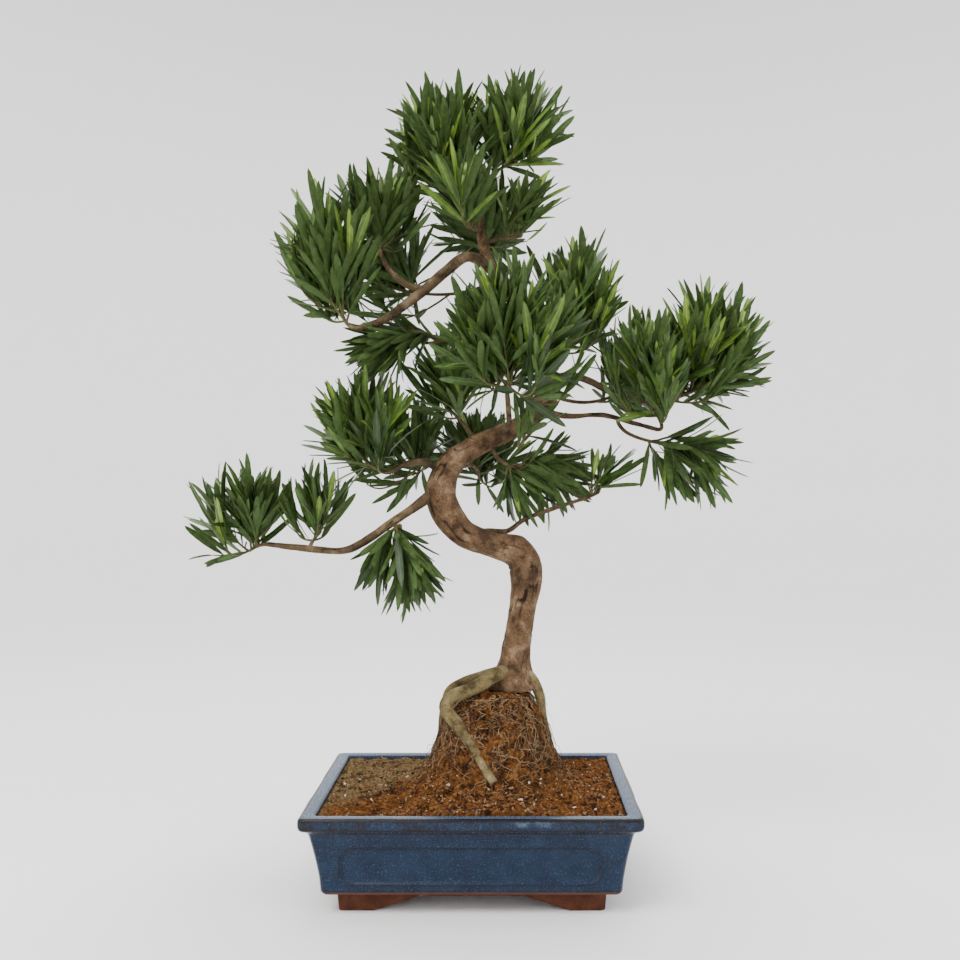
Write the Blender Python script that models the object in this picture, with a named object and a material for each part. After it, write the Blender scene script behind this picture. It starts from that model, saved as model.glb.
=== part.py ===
"""Buddhist pine bonsai in a glazed rectangular pot.

The trunk stands on an exposed root ball above the pot, leans, turns sharply twice and
runs up into the crown. Slender boughs carry separate masses of narrow leaves.
All sizes in this file are millimetres; they become metres when an object is made.
X runs along the pot, -Y is the front, Z is up, and the pot stands on Z = 0.
"""

import math

import bmesh
import bpy
import numpy as np
from mathutils.bvhtree import BVHTree

MM = 0.001
GAP = 0.3

# Pot, with its feet
RIM_LENGTH = 230.0
RIM_WIDTH = 170.0
RIM_HEIGHT = 69.4
RIM_CORNER = 4.0
POT_UNDERSIDE = 14.5
POT_FLOOR = 22.0
# Outer face from the underside to the rim: height, and how far it is set in from the rim
POT_OUTER = [(POT_UNDERSIDE, 14.8), (16.9, 13.3), (20.0, 13.0), (27.0, 12.3), (38.0, 10.5),
             (50.0, 8.0), (57.0, 6.2), (59.5, 4.0), (61.0, 1.2), (62.5, 0.3), (68.0, 0.0),
             (RIM_HEIGHT, 1.6)]
POT_INNER = [(RIM_HEIGHT, 9.3), (68.6, 10.6), (62.0, 11.2), (POT_FLOOR, 20.5)]
BASE_SETBACK = 22.9
BASE_TAPER = 1.0
ARCH_HEIGHT = 10.5
ARCH_FOOT_HALF = (67.0, 38.0)
ARCH_TOP_HALF = (35.0, 14.0)
PANEL_BOTTOM = 21.5
PANEL_TOP = 48.0
PANEL_DEPTH = 1.3
PANEL_BEVEL = 3.0
PANEL_END_GAP = 15.5
PANEL_CORNER = 10.0

# Soil and the root ball that rises from it
SOIL_LEVEL = 66.0
SOIL_SPOKES = 24
BALL_CENTRE = (15.0, -4.0)
BALL_TOP = 139.7
BALL_FRONT_STRETCH = 1.15
# Root ball: distance out from its middle, and height of its surface there
BALL_PROFILE = [(0.0, BALL_TOP), (18.5, BALL_TOP), (25.0, 135.5), (31.0, 127.0), (36.5, 116.0),
                (40.0, 103.0), (44.0, 92.0), (50.0, 80.0), (60.0, 71.5), (75.0, 67.5),
                (200.0, SOIL_LEVEL)]

# Limbs: the points that each one runs through (x, y, z) and its radius there
TRUNK_FOOT = 140.0
TRUNK_SIDES = 10
TRUNK = [(28, -1, TRUNK_FOOT, 17.5), (30.5, 0, 160, 11.4), (34, -1, 190, 10.1), (38.5, -4, 222, 11.3),
         (33, -6, 239, 11.0), (13, -9, 246, 9.6), (-10, -13, 256, 10.0), (-24, -15, 280, 11.3),
         (-18, -9, 304, 9.3), (2, -2, 319, 7.7), (38, 10, 337, 7.3), (55, 18, 359, 8.2),
         (51, 27, 390, 5.8), (33, 27, 424, 4.8), (13, 15, 452, 4.2), (4, 5, 480, 3.1), (6, 0, 506, 2.0)]
# Directions, in degrees round the trunk, in which its foot flares out to a root
FLARE_TOWARDS = (5, 150, 222, 290)
FLARE_GAIN = 0.22
FLARE_HEIGHT = 18.0

LIMBS = {
    "surface_root_front": [(26, -4, 153, 5.4), (14, -18, 151, 5.2), (0, -26, 144, 4.7), (-15, -30, 139, 4.6),
                           (-19.5, -31, 131, 4.8), (-12, -34, 121, 4.6), (-2, -42, 110, 4.2),
                           (7, -51, 97, 3.6), (15, -58, 86, 2.8)],
    "surface_root_right": [(32, -2, 153, 5.2), (42, -5, 147, 4.4), (48, -6, 135, 3.7), (50.5, -6, 121, 2.9),
                           (54, -2, 107, 2.2), (60, 4, 88, 1.4)],
    "surface_root_back": [(24, 2, 152, 4.6), (8, 12, 147, 3.4), (-9, 15, 141, 3.0), (-20, 14, 134, 2.7),
                          (-24, 12, 120, 2.4), (-27, 12, 103, 2.0), (-34, 14, 84, 1.3)],
    "upper_left_bough": [(13, 15, 452, 4.2), (-5, 2, 459, 4.0), (-21, -8, 446, 3.9), (-37, -16, 430, 3.6),
                         (-63, -28, 408, 3.0), (-80, -32, 401, 2.4)],
    "upper_left_spur": [(-36, -16, 431, 2.8), (-48, -18, 434, 2.4), (-60, -16, 444, 2.1), (-68, -11, 457, 1.7)],
    "right_bough": [(54, 18, 367, 4.4), (70, 14, 372, 3.2), (84, 8, 368, 2.8), (104, -1, 357, 2.4),
                    (124, -6, 351, 2.0)],
    "right_low_bough": [(50, 14, 345, 3.0), (70, 6, 341, 2.1), (94, -5, 341, 1.8), (115, -12, 335, 1.6),
                        (133, -13, 330, 1.4)],
    "far_left_bough": [(-24, -14, 288, 4.6), (-42, -23, 274, 3.4), (-58, -27, 263, 3.1), (-80, -25, 248, 2.8),
                       (-97, -19, 242, 2.6), (-131, -9, 244, 2.2), (-152, -5, 246, 1.9)],
    "mid_left_bough": [(-20, -10, 298, 3.6), (-35, -18, 306, 2.5), (-48, -20, 305, 2.1), (-60, -18, 299, 1.7)],
    "lower_right_bough": [(-3, -4, 254, 3.0), (10, 5, 255, 2.5), (24, 13, 255, 2.2), (38, 14, 264, 2.0),
                          (56, 10, 271, 1.7), (80, 5, 279, 1.4)],
    "front_bough": [(20, 3, 328, 3.6), (25, -18, 333, 2.4), (25, -40, 342, 2.0), (24, -58, 353, 1.6)],
    "back_bough": [(53, 22, 372, 4.0), (50, 40, 377, 2.8), (43, 57, 383, 2.3), (34, 70, 389, 1.8)],
    "low_back_bough": [(-20, -12, 294, 4.0), (-18, 8, 300, 2.6), (-11, 28, 304, 2.2), (-4, 46, 305, 1.7)],
}
# Which limb each one grows from
GROWS_FROM = {name: "trunk" for name in LIMBS}
GROWS_FROM["upper_left_spur"] = "upper_left_bough"
LIMB_SIDES = 6

# Leaves and twigs of a mass
LEAF_LENGTH = 52.0
LEAF_WIDTH = 13.0
LEAF_THICKNESS = 0.8
LEAVES_PER_SHOOT = 7
LEAF_TRIES = 14
SPINS = 4
LEAF_BOW = 0.05
TWIG_RADIUS = 1.0
STEM_RADIUS = 1.6
LEAF_CLEARANCE = 1.2
CELL_MARGIN = 0.03
LEAF_SKIN = 1.05
GOLDEN_ANGLE = math.radians(137.508)

# Masses of foliage: the limb that carries it, the height at which its stem leaves the trunk
# (0 where it grows on from the limb's tip), the middle of its space, the half sizes of that
# space, the way its shoots lean, and how many shoots it has
MASSES = {
    "apex_right": ("trunk", 0, (34, -2, 550), (38, 38, 46), (0.25, 0, 1), 5),
    "apex_left": ("trunk", 492, (-22, -6, 545), (42, 36, 45), (-0.35, -0.1, 1), 5),
    "crown_right": ("trunk", 468, (46, -12, 482), (30, 40, 34), (0.8, -0.3, 0.6), 3),
    "crown_front": ("trunk", 476, (-8, -48, 486), (42, 34, 40), (-0.2, -0.7, 0.8), 4),
    "crown_back": ("trunk", 458, (8, 62, 500), (46, 36, 52), (0, 0.8, 0.9), 5),
    "left_top": ("upper_left_spur", 0, (-70, 4, 490), (36, 38, 48), (-0.2, 0.1, 1), 4),
    "left_outer": ("upper_left_bough", 0, (-103, -24, 454), (36, 38, 64), (-0.4, -0.1, 1), 5),
    "left_back": ("trunk", 448, (-66, 56, 460), (46, 34, 50), (-0.5, 0.6, 0.8), 4),
    "left_under": ("trunk", 420, (-52, -14, 384), (42, 36, 34), (-0.7, -0.3, -0.5), 3),
    "centre_front": ("front_bough", 0, (29, -82, 388), (50, 38, 66), (0.1, -0.25, 1), 6),
    "right_upper": ("trunk", 384, (80, -4, 424), (30, 36, 56), (0.35, -0.1, 1), 4),
    "right_upper_back": ("trunk", 402, (66, 62, 430), (42, 34, 52), (0.4, 0.6, 0.9), 4),
    "centre_left": ("trunk", 318, (-24, 2, 366), (34, 36, 38), (-0.2, 0, 1), 3),
    "centre_back": ("back_bough", 0, (12, 86, 388), (50, 36, 52), (-0.1, 0.5, 1), 5),
    "right_inner": ("right_low_bough", 0, (122, -32, 372), (34, 32, 46), (-0.1, -0.3, 1), 4),
    "right_outer": ("right_bough", 0, (173, -2, 390), (42, 42, 58), (0.45, 0, 1), 6),
    "right_back": ("trunk", 360, (130, 58, 384), (44, 34, 48), (0.6, 0.6, 0.9), 4),
    "right_hanging": ("right_low_bough", 1, (160, -14, 306), (40, 32, 36), (0.6, -0.2, -0.6), 3),
    "lower_right": ("lower_right_bough", 0, (106, 2, 292), (34, 30, 28), (0.7, -0.2, 0.5), 3),
    "low_right": ("trunk", 322, (50, 24, 294), (42, 36, 38), (0.5, 0.4, -0.3), 4),
    "low_front": ("trunk", 336, (38, -44, 320), (42, 32, 32), (0.3, -0.9, 0.2), 3),
    "low_back": ("low_back_bough", 0, (4, 82, 308), (48, 36, 44), (0.1, 0.8, 0.6), 5),
    "mid_left": ("mid_left_bough", 0, (-80, -16, 326), (42, 38, 50), (-0.4, -0.1, 1), 5),
    "mid_left_back": ("trunk", 306, (-62, 52, 318), (44, 34, 44), (-0.6, 0.6, 0.7), 4),
    "left_hanging": ("far_left_bough", 1, (-50, -32, 240), (34, 32, 44), (0.1, -0.2, -1), 3),
    "far_left_tip": ("far_left_bough", 0, (-173, -4, 264), (38, 38, 50), (-0.4, 0, 1), 5),
    "far_left_inner": ("far_left_bough", 1, (-116, -8, 272), (28, 32, 38), (-0.1, 0, 1), 3),
}


def clear_scene():
    """Remove every object that the new file starts with."""
    for item in list(bpy.data.objects):
        bpy.data.objects.remove(item, do_unlink=True)


def make_material(name, colour, roughness, metallic=0.0):
    """Plain Principled material."""
    material = bpy.data.materials.new(name)
    material.use_nodes = True
    shader = material.node_tree.nodes["Principled BSDF"]
    shader.inputs["Base Color"].default_value = (*colour, 1.0)
    shader.inputs["Roughness"].default_value = roughness
    shader.inputs["Metallic"].default_value = metallic
    return material


def make_object(name, points, faces, material=None):
    """Object from points in millimetres and faces that list their corners."""
    mesh = bpy.data.meshes.new(name)
    mesh.from_pydata([tuple(float(value) * MM for value in point) for point in points], [], faces)
    mesh.update()
    if material:
        mesh.materials.append(material)
    item = bpy.data.objects.new(name, mesh)
    bpy.context.scene.collection.objects.link(item)
    return item


def unit(vector):
    """Same direction, length one."""
    vector = np.asarray(vector, float)
    return vector / np.linalg.norm(vector)


def smooth_route(route, step):
    """Points about `step` apart on a smooth curve through the route's points, radius included."""
    route = np.asarray(route, float)
    before = np.vstack([2 * route[0] - route[1], route, 2 * route[-1] - route[-2]])
    found = []
    for index in range(len(route) - 1):
        p0, p1, p2, p3 = before[index:index + 4]
        count = max(2, round(np.linalg.norm((p2 - p1)[:3]) / step))
        for t in np.arange(count) / count:
            found.append(0.5 * (2 * p1 + (p2 - p0) * t + (2 * p0 - 5 * p1 + 4 * p2 - p3) * t * t
                                + (3 * p1 - p0 - 3 * p2 + p3) * t ** 3))
    found.append(route[-1])
    return np.array(found)


def ring_frames(centres, first_way=None):
    """Tangent and two side directions at each centre, carried along without twist."""
    tangents = np.gradient(centres, axis=0)
    if first_way is not None:
        tangents[0] = first_way
    tangents /= np.linalg.norm(tangents, axis=1)[:, None]
    side = np.cross(tangents[0], (0.0, 1.0, 0.0) if abs(tangents[0][1]) < 0.9 else (1.0, 0.0, 0.0))
    sides = []
    for tangent in tangents:
        side = unit(side - tangent * np.dot(side, tangent))
        sides.append(side)
    sides = np.array(sides)
    return tangents, sides, np.cross(tangents, sides)


def tube_faces(rings, sides):
    """Quads between neighbouring rings and a flat face at each end, pointing out."""
    faces = []
    for ring in range(rings - 1):
        for k in range(sides):
            a = ring * sides + k
            b = ring * sides + (k + 1) % sides
            faces.append((a, b, b + sides, a + sides))
    faces.append(tuple(range(sides - 1, -1, -1)))
    last = (rings - 1) * sides
    faces.append(tuple(range(last, last + sides)))
    return faces


def tube_points(path, sides, grown=0.0, first_way=None):
    """Rings of points round a path of (x, y, z, radius)."""
    _, across, up = ring_frames(path[:, :3], first_way)
    angles = np.arange(sides) * 2 * math.pi / sides
    reach = (path[:, 3] + grown)[:, None, None]
    rings = path[:, None, :3] + reach * (across[:, None] * np.cos(angles)[None, :, None]
                                         + up[:, None] * np.sin(angles)[None, :, None])
    return rings


def limb_object(name, path, sides, material=None, grown=0.0, first_way=None):
    """Tapering limb along a smooth path; a grown one is longer and thicker, for cutting."""
    rings = tube_points(path, sides, grown, first_way)
    if grown:
        tangents, _, _ = ring_frames(path[:, :3])
        rings[0] -= tangents[0] * grown
        rings[-1] += tangents[-1] * grown
    points = rings.reshape(-1, 3)
    return make_object(name, points, tube_faces(len(rings), sides), material)


def trunk_object(name, path, material=None, grown=0.0):
    """Trunk with a foot that flares towards its roots and ends in a flat cut."""
    rings = tube_points(path, TRUNK_SIDES, grown)
    for ring, centre in zip(rings, path[:, :3]):
        height = centre[2] - TRUNK_FOOT
        strength = FLARE_GAIN * math.exp(-(height / FLARE_HEIGHT) ** 2)
        offset = ring - centre
        angle = np.arctan2(offset[:, 1], offset[:, 0])
        lobes = sum(np.exp(3.0 * (np.cos(angle - math.radians(way)) - 1)) for way in FLARE_TOWARDS)
        ring += offset * (strength * (lobes - 0.5))[:, None]
    rings[0, :, 2] = TRUNK_FOOT - grown
    if grown:
        rings[-1, :, 2] += grown
    return make_object(name, rings.reshape(-1, 3), tube_faces(len(rings), TRUNK_SIDES), material)


def apply_boolean(target, cutter, operation):
    """Cut one object by another, keep the result in the target's mesh and remove the cutter."""
    change = target.modifiers.new("join", "BOOLEAN")
    change.operation = operation
    change.solver = "EXACT"
    if isinstance(cutter, bpy.types.Collection):
        change.operand_type = "COLLECTION"
        change.collection = cutter
    else:
        change.object = cutter
    graph = bpy.context.evaluated_depsgraph_get()
    result = bpy.data.meshes.new_from_object(target.evaluated_get(graph))
    target.modifiers.clear()
    target.data = result
    spent = list(cutter.objects) if isinstance(cutter, bpy.types.Collection) else [cutter]
    for item in spent:
        bpy.data.objects.remove(item, do_unlink=True)
    if isinstance(cutter, bpy.types.Collection):
        bpy.data.collections.remove(cutter)


def keep_largest_body(item):
    """Drop loose scraps and sealed hollows: only the body with the most volume stays."""
    work = bmesh.new()
    work.from_mesh(item.data)
    bmesh.ops.triangulate(work, faces=work.faces)
    bmesh.ops.dissolve_degenerate(work, dist=0.000002, edges=work.edges)
    bmesh.ops.triangulate(work, faces=work.faces)
    waiting = set(work.faces)
    bodies = []
    while waiting:
        front = [waiting.pop()]
        body = []
        while front:
            face = front.pop()
            body.append(face)
            for edge in face.edges:
                for other in edge.link_faces:
                    if other in waiting:
                        waiting.remove(other)
                        front.append(other)
        bodies.append(body)

    def volume(body):
        total = 0.0
        for face in body:
            a, b, c = (vertex.co for vertex in face.verts)
            total += a.dot(b.cross(c)) / 6.0
        return total

    bodies.sort(key=volume)
    spare = [face for body in bodies[:-1] for face in body]
    if spare:
        bmesh.ops.delete(work, geom=spare, context="FACES")
    work.to_mesh(item.data)
    work.free()


def finish_round(item, sharp=50.0):
    """Smooth shading up to the given edge angle."""
    item.data.shade_smooth()
    item.data.set_sharp_from_angle(angle=math.radians(sharp))


def rectangle_loop(setback, height, corner, steps=3):
    """Rounded rectangle of points, set in from the pot's rim outline, anticlockwise from above."""
    half_x = RIM_LENGTH / 2 - setback
    half_y = RIM_WIDTH / 2 - setback
    loop = []
    for sign_x, sign_y, start in ((1, 1, 0), (-1, 1, 90), (-1, -1, 180), (1, -1, 270)):
        middle = (sign_x * (half_x - corner), sign_y * (half_y - corner))
        for k in range(steps + 1):
            angle = math.radians(start + 90 * k / steps)
            loop.append((middle[0] + corner * math.cos(angle), middle[1] + corner * math.sin(angle), height))
    return loop


def stack_loops(name, loops, material=None):
    """Closed solid whose skin runs through the loops in order, bottom face first."""
    sides = len(loops[0])
    points = [point for loop in loops for point in loop]
    return make_object(name, points, tube_faces(len(loops), sides), material)


def body_setback(height):
    """How far the pot's outer face is set in from the rim outline at a height."""
    heights, setbacks = zip(*POT_OUTER)
    return float(np.interp(height, heights, setbacks))


def panel_cutter(name, length, width):
    """Solid that sinks a bevelled panel, round at its corners, into one long face (at -Y)."""
    half = length / 2 - PANEL_END_GAP
    points = []
    for inset, depth in ((PANEL_BEVEL, PANEL_DEPTH), (0.0, 0.0), (-1.0, -2.0)):
        bottom = PANEL_BOTTOM + inset
        top = PANEL_TOP - inset
        corner = PANEL_CORNER - inset
        for sign_x, low, start in ((1, True, 270), (1, False, 0), (-1, False, 90), (-1, True, 180)):
            middle_x = sign_x * (half - inset - corner)
            middle_z = bottom + corner if low else top - corner
            for k in range(4):
                angle = math.radians(start + 30 * k)
                z = middle_z + corner * math.sin(angle)
                y = -width / 2 + body_setback(z) + depth
                points.append((middle_x + corner * math.cos(angle), y, z))
    faces = tube_faces(3, 16)[:-2]
    for k in range(7):
        faces.append((k, 15 - k, 14 - k, k + 1))
        faces.append((32 + k, 32 + k + 1, 46 - k, 47 - k))
    return make_object(name, points, faces)


def make_pot(glaze, clay):
    """Glazed body with a sunk panel on each side, and the unglazed base with its four feet."""
    loops = [rectangle_loop(setback, height, RIM_CORNER) for height, setback in POT_OUTER]
    loops += [rectangle_loop(setback, height, 3.0) for height, setback in POT_INNER]
    pot = stack_loops("pot", loops, glaze)
    for turn in range(4):
        along_x = turn % 2 == 0
        sizes = (RIM_LENGTH, RIM_WIDTH) if along_x else (RIM_WIDTH, RIM_LENGTH)
        cutter = panel_cutter("panel_cutter", *sizes)
        cutter.rotation_euler[2] = math.radians(90 * turn)
        bpy.context.view_layer.update()
        apply_boolean(pot, cutter, "DIFFERENCE")
    keep_largest_body(pot)
    finish_round(pot, 35.0)

    top = POT_UNDERSIDE - GAP
    base = stack_loops("pot_base", [rectangle_loop(BASE_SETBACK + BASE_TAPER, 0.0, 3.5),
                                    rectangle_loop(BASE_SETBACK, top, 3.5)], clay)
    for axis, reach in ((0, RIM_WIDTH), (1, RIM_LENGTH)):
        low, high = ARCH_FOOT_HALF[axis], ARCH_TOP_HALF[axis]
        slope = (high - low) / ARCH_HEIGHT
        outline = [(-low + slope, -1.0), (low - slope, -1.0), (high, ARCH_HEIGHT), (-high, ARCH_HEIGHT)]
        ends = []
        for side in (reach, -reach):
            ends += [(across, side, z) if axis == 0 else (-side, across, z) for across, z in outline]
        faces = [(0, 1, 2, 3), (7, 6, 5, 4), (0, 4, 5, 1), (1, 5, 6, 2), (2, 6, 7, 3), (3, 7, 4, 0)]
        arch = make_object("arch_cutter", ends, [face[::-1] for face in faces])
        apply_boolean(base, arch, "DIFFERENCE")
    keep_largest_body(base)


def soil_height(x, y):
    """Height of the soil: the root ball's profile with its toe spread to the front, and small lumps."""
    away_x = x - BALL_CENTRE[0]
    away_y = y - BALL_CENTRE[1]
    if away_y < 0:
        away_y /= BALL_FRONT_STRETCH
    distance = math.hypot(away_x, away_y)
    height = float(np.interp(distance, *zip(*BALL_PROFILE)))
    lumps = 0.9 * math.sin(0.31 * x + 0.7) * math.sin(0.37 * y + 0.2) + 0.5 * math.sin(0.71 * x - 0.53 * y)
    return height + lumps * min(1.0, max(0.0, (distance - 20.0) / 15.0))


def make_soil(material):
    """Soil that fills the pot and rises to the root ball, on spokes from the ball's middle."""
    edge_setback = POT_INNER[2][1] + 0.45
    edge = rectangle_loop(edge_setback, 0.0, 3.0, steps=2)
    corner_angles = [math.atan2(p[1] - BALL_CENTRE[1], p[0] - BALL_CENTRE[0]) for p in edge]
    spread = [2 * math.pi * k / SOIL_SPOKES - math.pi for k in range(SOIL_SPOKES)]
    spread = [a for a in spread if min(abs(a - b) for b in corner_angles) > 0.08]
    angles = sorted(spread + corner_angles)

    half = (RIM_LENGTH / 2 - edge_setback, RIM_WIDTH / 2 - edge_setback)

    def to_wall(angle):
        """Distance from the ball's middle to the pot's inner face."""
        for point, known in zip(edge, corner_angles):
            if abs(known - angle) < 1e-9:
                return math.hypot(point[0] - BALL_CENTRE[0], point[1] - BALL_CENTRE[1])
        reach = []
        for axis, way in ((0, math.cos(angle)), (1, math.sin(angle))):
            if abs(way) > 1e-6:
                reach.append((math.copysign(half[axis], way) - BALL_CENTRE[axis]) / way)
        return min(reach)

    walls = [to_wall(angle) for angle in angles]

    def level(scale, height):
        """Loop along the pot's inner face at one height, drawn in by a scale."""
        return [(BALL_CENTRE[0] * (1 - 0) + math.cos(a) * w, BALL_CENTRE[1] + math.sin(a) * w, height)
                if scale == 0 else
                (np.sign(BALL_CENTRE[0] + math.cos(a) * w) * max(
                    0.0, abs(BALL_CENTRE[0] + math.cos(a) * w) - scale),
                 np.sign(BALL_CENTRE[1] + math.sin(a) * w) * max(
                    0.0, abs(BALL_CENTRE[1] + math.sin(a) * w) - scale), height)
                for a, w in zip(angles, walls)]

    inner_slope = POT_INNER[3][1] - POT_INNER[2][1]
    loops = [level(inner_slope, POT_FLOOR + GAP), level(0, POT_INNER[2][0])]
    reaches = [200.0, 70.0, 56.0, 49.0, 43.0, 39.0, 35.0, 29.0, 18.5]
    shares = [1.0, 0.90, 0.80, 0.72, 0.64, 0.56, 0.48, 0.40, 0.33]
    for reach, share in zip(reaches, shares):
        loop = []
        for angle, wall in zip(angles, walls):
            stretch = BALL_FRONT_STRETCH if math.sin(angle) < 0 else 1.0
            ball = math.hypot(math.cos(angle), math.sin(angle) * stretch) * reach
            radius = min(ball, wall * share)
            x = BALL_CENTRE[0] + math.cos(angle) * radius
            y = BALL_CENTRE[1] + math.sin(angle) * radius
            loop.append((x, y, soil_height(x, y)))
        loops.append(loop)
    return stack_loops("soil", loops, material)


def limb_samples(paths):
    """All limbs as one list of (x, y, z, radius) for finding what lies close."""
    return np.vstack([path for path in paths])


def cell_value(points, name):
    """How far points lie out from the middle of a mass's space: 1 on its skin."""
    _, _, middle, half, _, _ = MASSES[name]
    return np.linalg.norm((points - np.asarray(middle, float)) / np.asarray(half, float), axis=1)


def keeps_to_cell(points, name, skin=1.0):
    """True where all points lie in the mass's own space and nearer to it than to any other."""
    own = cell_value(points, name)
    if own.max() > skin:
        return False
    for other in MASSES:
        if other != name and (cell_value(points, other) - own).min() < CELL_MARGIN:
            return False
    return True


def clear_of(points, samples, clearance):
    """True where no point comes closer to a limb's skin than the clearance."""
    reach = np.linalg.norm(points[:, None] - samples[None, :, :3], axis=2) - samples[None, :, 3]
    return reach.min() > clearance


def bend_curve(start, bend, end, count):
    """Points on the curve that leaves `start` towards `bend` and arrives at `end` from it."""
    t = np.linspace(0.0, 1.0, count)[:, None]
    return (1 - t) ** 2 * start + 2 * t * (1 - t) * bend + t * t * end


def stem_path(name, paths):
    """Stem of a mass, from 0.3 mm off its carrier to the heart of its space, and its first direction."""
    carrier, height, middle, half, lean, _ = MASSES[name]
    path = paths[carrier]
    middle, half, lean = (np.asarray(v, float) for v in (middle, half, unit(lean)))
    heart = middle - 0.5 * half * lean
    if height == 0:
        tangent = unit(path[-1, :3] - path[-2, :3])
        start = path[-1, :3] + tangent * GAP
    else:
        if height == 1:
            place = int(np.argmin(np.linalg.norm(path[:, :3] - heart, axis=1)))
            place = min(place, len(path) - 4)
        else:
            place = int(np.argmin(np.abs(path[:, 2] - height)))
        along = unit(path[place + 1, :3] - path[place - 1, :3])
        tangent = heart - path[place, :3]
        tangent = unit(tangent - along * np.dot(tangent, along))
        start = path[place, :3] + tangent * (path[place, 3] + GAP)
    bend = start + tangent * 0.5 * np.linalg.norm(heart - start)
    curve = bend_curve(start, bend, heart, 5)
    radius = np.linspace(STEM_RADIUS, TWIG_RADIUS * 1.15, 5)
    return np.column_stack([curve, radius]), tangent


def shoot_paths(name, stem, obstacles):
    """Shoots of a mass: they leave its stem, curve up to its skin and stop a leaf short of it."""
    _, _, middle, half, lean, wanted = MASSES[name]
    middle, half, lean = (np.asarray(v, float) for v in (middle, half, unit(lean)))
    draw = np.random.RandomState(sum(ord(letter) for letter in name))
    first = draw.uniform(0, 2 * math.pi)
    side = unit(np.cross(lean, (0.3, 1.0, 0.2)))
    other = np.cross(lean, side)
    shoots = []
    for attempt in range(wanted * 4):
        if len(shoots) == wanted:
            break
        order = attempt % wanted if attempt < wanted else draw.uniform(0, wanted)
        tilt = math.radians(88.0) * math.sqrt((order + 0.15) / wanted)
        turn = first + GOLDEN_ANGLE * attempt
        way = lean * math.cos(tilt) + (side * math.cos(turn) + other * math.sin(turn)) * math.sin(tilt)
        target = middle + half * way
        share = 1.0 - 0.55 * min(order, wanted - 0.5) / wanted
        place = share * (len(stem) - 1)
        low = int(min(math.floor(place), len(stem) - 2))
        base = stem[low, :3] + (stem[low + 1, :3] - stem[low, :3]) * (place - low)
        out = unit(target - base)
        length = max(14.0, np.linalg.norm(target - base) - 0.8 * LEAF_LENGTH)
        end = base + out * length
        bend = base + unit(out - 0.35 * lean) * 0.5 * length
        curve = bend_curve(base, bend, end, 3)
        if not keeps_to_cell(curve[1:], name):
            continue
        if not clear_of(curve[1:], obstacles, TWIG_RADIUS + LEAF_CLEARANCE):
            continue
        shoots.append(np.column_stack([curve, np.linspace(TWIG_RADIUS, 0.6 * TWIG_RADIUS, 3)]))
    return shoots


def leaf_frames(shoot, spin):
    """Where a shoot's leaves sit and how they point: spiral round it, closing up towards its tip."""
    frames = []
    tangents, across, up = ring_frames(shoot[:, :3])
    for k in range(LEAF_TRIES):
        share = (k + 0.5) / LEAF_TRIES
        place = (0.25 + 0.75 * share) * (len(shoot) - 1)
        low = int(min(math.floor(place), len(shoot) - 2))
        part = place - low
        root = shoot[low, :3] * (1 - part) + shoot[low + 1, :3] * part
        turn = spin + GOLDEN_ANGLE * k
        outward = across[low] * math.cos(turn) + up[low] * math.sin(turn)
        opening = math.radians(68.0 - 46.0 * share)
        way = tangents[low] * math.cos(opening) + outward * math.sin(opening)
        face = tangents[low] * math.sin(opening) - outward * math.cos(opening)
        size = 0.82 + 0.3 * math.sin(math.pi * share)
        frames.append((root, tangents[low], way, face, size))
    return frames


def leaf_points(root, tangent, way, face, length):
    """Five corners of a leaf: root in the twig, two edges, the keel under them and the tip."""
    width = LEAF_WIDTH * (0.6 + 0.4 * length / LEAF_LENGTH)
    edge = np.cross(way, face)
    sunk = root - tangent * 1.2 - way * 0.2
    widest = root + way * 0.45 * length + face * LEAF_BOW * length * 0.3
    tip = root + way * length - face * LEAF_BOW * length
    return np.array([sunk, widest + edge * width / 2, widest - edge * width / 2,
                     widest - face * LEAF_THICKNESS, tip])


LEAF_FACES = [(0, 2, 1), (0, 3, 2), (0, 1, 3), (4, 1, 2), (4, 2, 3), (4, 3, 1)]


def leaf_reach(corners):
    """Points all over a leaf beyond its root, for finding what it would touch."""
    root, left, right, keel, tip = corners
    parts = []
    for share in (0.25, 0.5, 0.75, 1.0):
        for corner in (left, right, keel):
            parts.append(root + (corner - root) * share)
            parts.append(corner + (tip - corner) * share)
    return np.array(parts)


def crosses(corners, placed):
    """True where a leaf, away from its root, cuts through one that is already placed."""
    start = corners.copy()
    start[0] = 0.88 * corners[0] + 0.12 * corners[4]
    tree = BVHTree.FromPolygons(start.tolist(), LEAF_FACES)
    return any(tree.overlap(other) for other in placed)


def spun_leaves(name, shoot, spin, obstacles, placed):
    """Leaves of one shoot that stay in the mass's space, clear of every limb and of each other."""
    leaves = []
    trees = []
    frames = leaf_frames(shoot, spin)
    order = sorted(range(len(frames)), key=lambda k: ((k + 1) % 2, -k))
    for k in order:
        if len(leaves) == LEAVES_PER_SHOOT:
            break
        root, tangent, way, face, size = frames[k]
        for shorter in (1.0, 0.8):
            corners = leaf_points(root, tangent, way, face, LEAF_LENGTH * size * shorter)
            reach = leaf_reach(corners)
            if (keeps_to_cell(reach, name, LEAF_SKIN) and clear_of(reach, obstacles, LEAF_CLEARANCE)
                    and not crosses(corners, placed + trees)):
                leaves.append(corners)
                trees.append(BVHTree.FromPolygons(corners.tolist(), LEAF_FACES))
                break
    return leaves, trees


def shoot_leaves(name, shoot, spin, obstacles, placed):
    """The fullest set of leaves among a few turns of the spiral."""
    best, best_trees = [], []
    for turn in range(SPINS):
        leaves, trees = spun_leaves(name, shoot, spin + 0.6 * turn, obstacles, placed)
        if len(leaves) > len(best):
            best, best_trees = leaves, trees
    placed.extend(best_trees)
    return best


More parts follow.
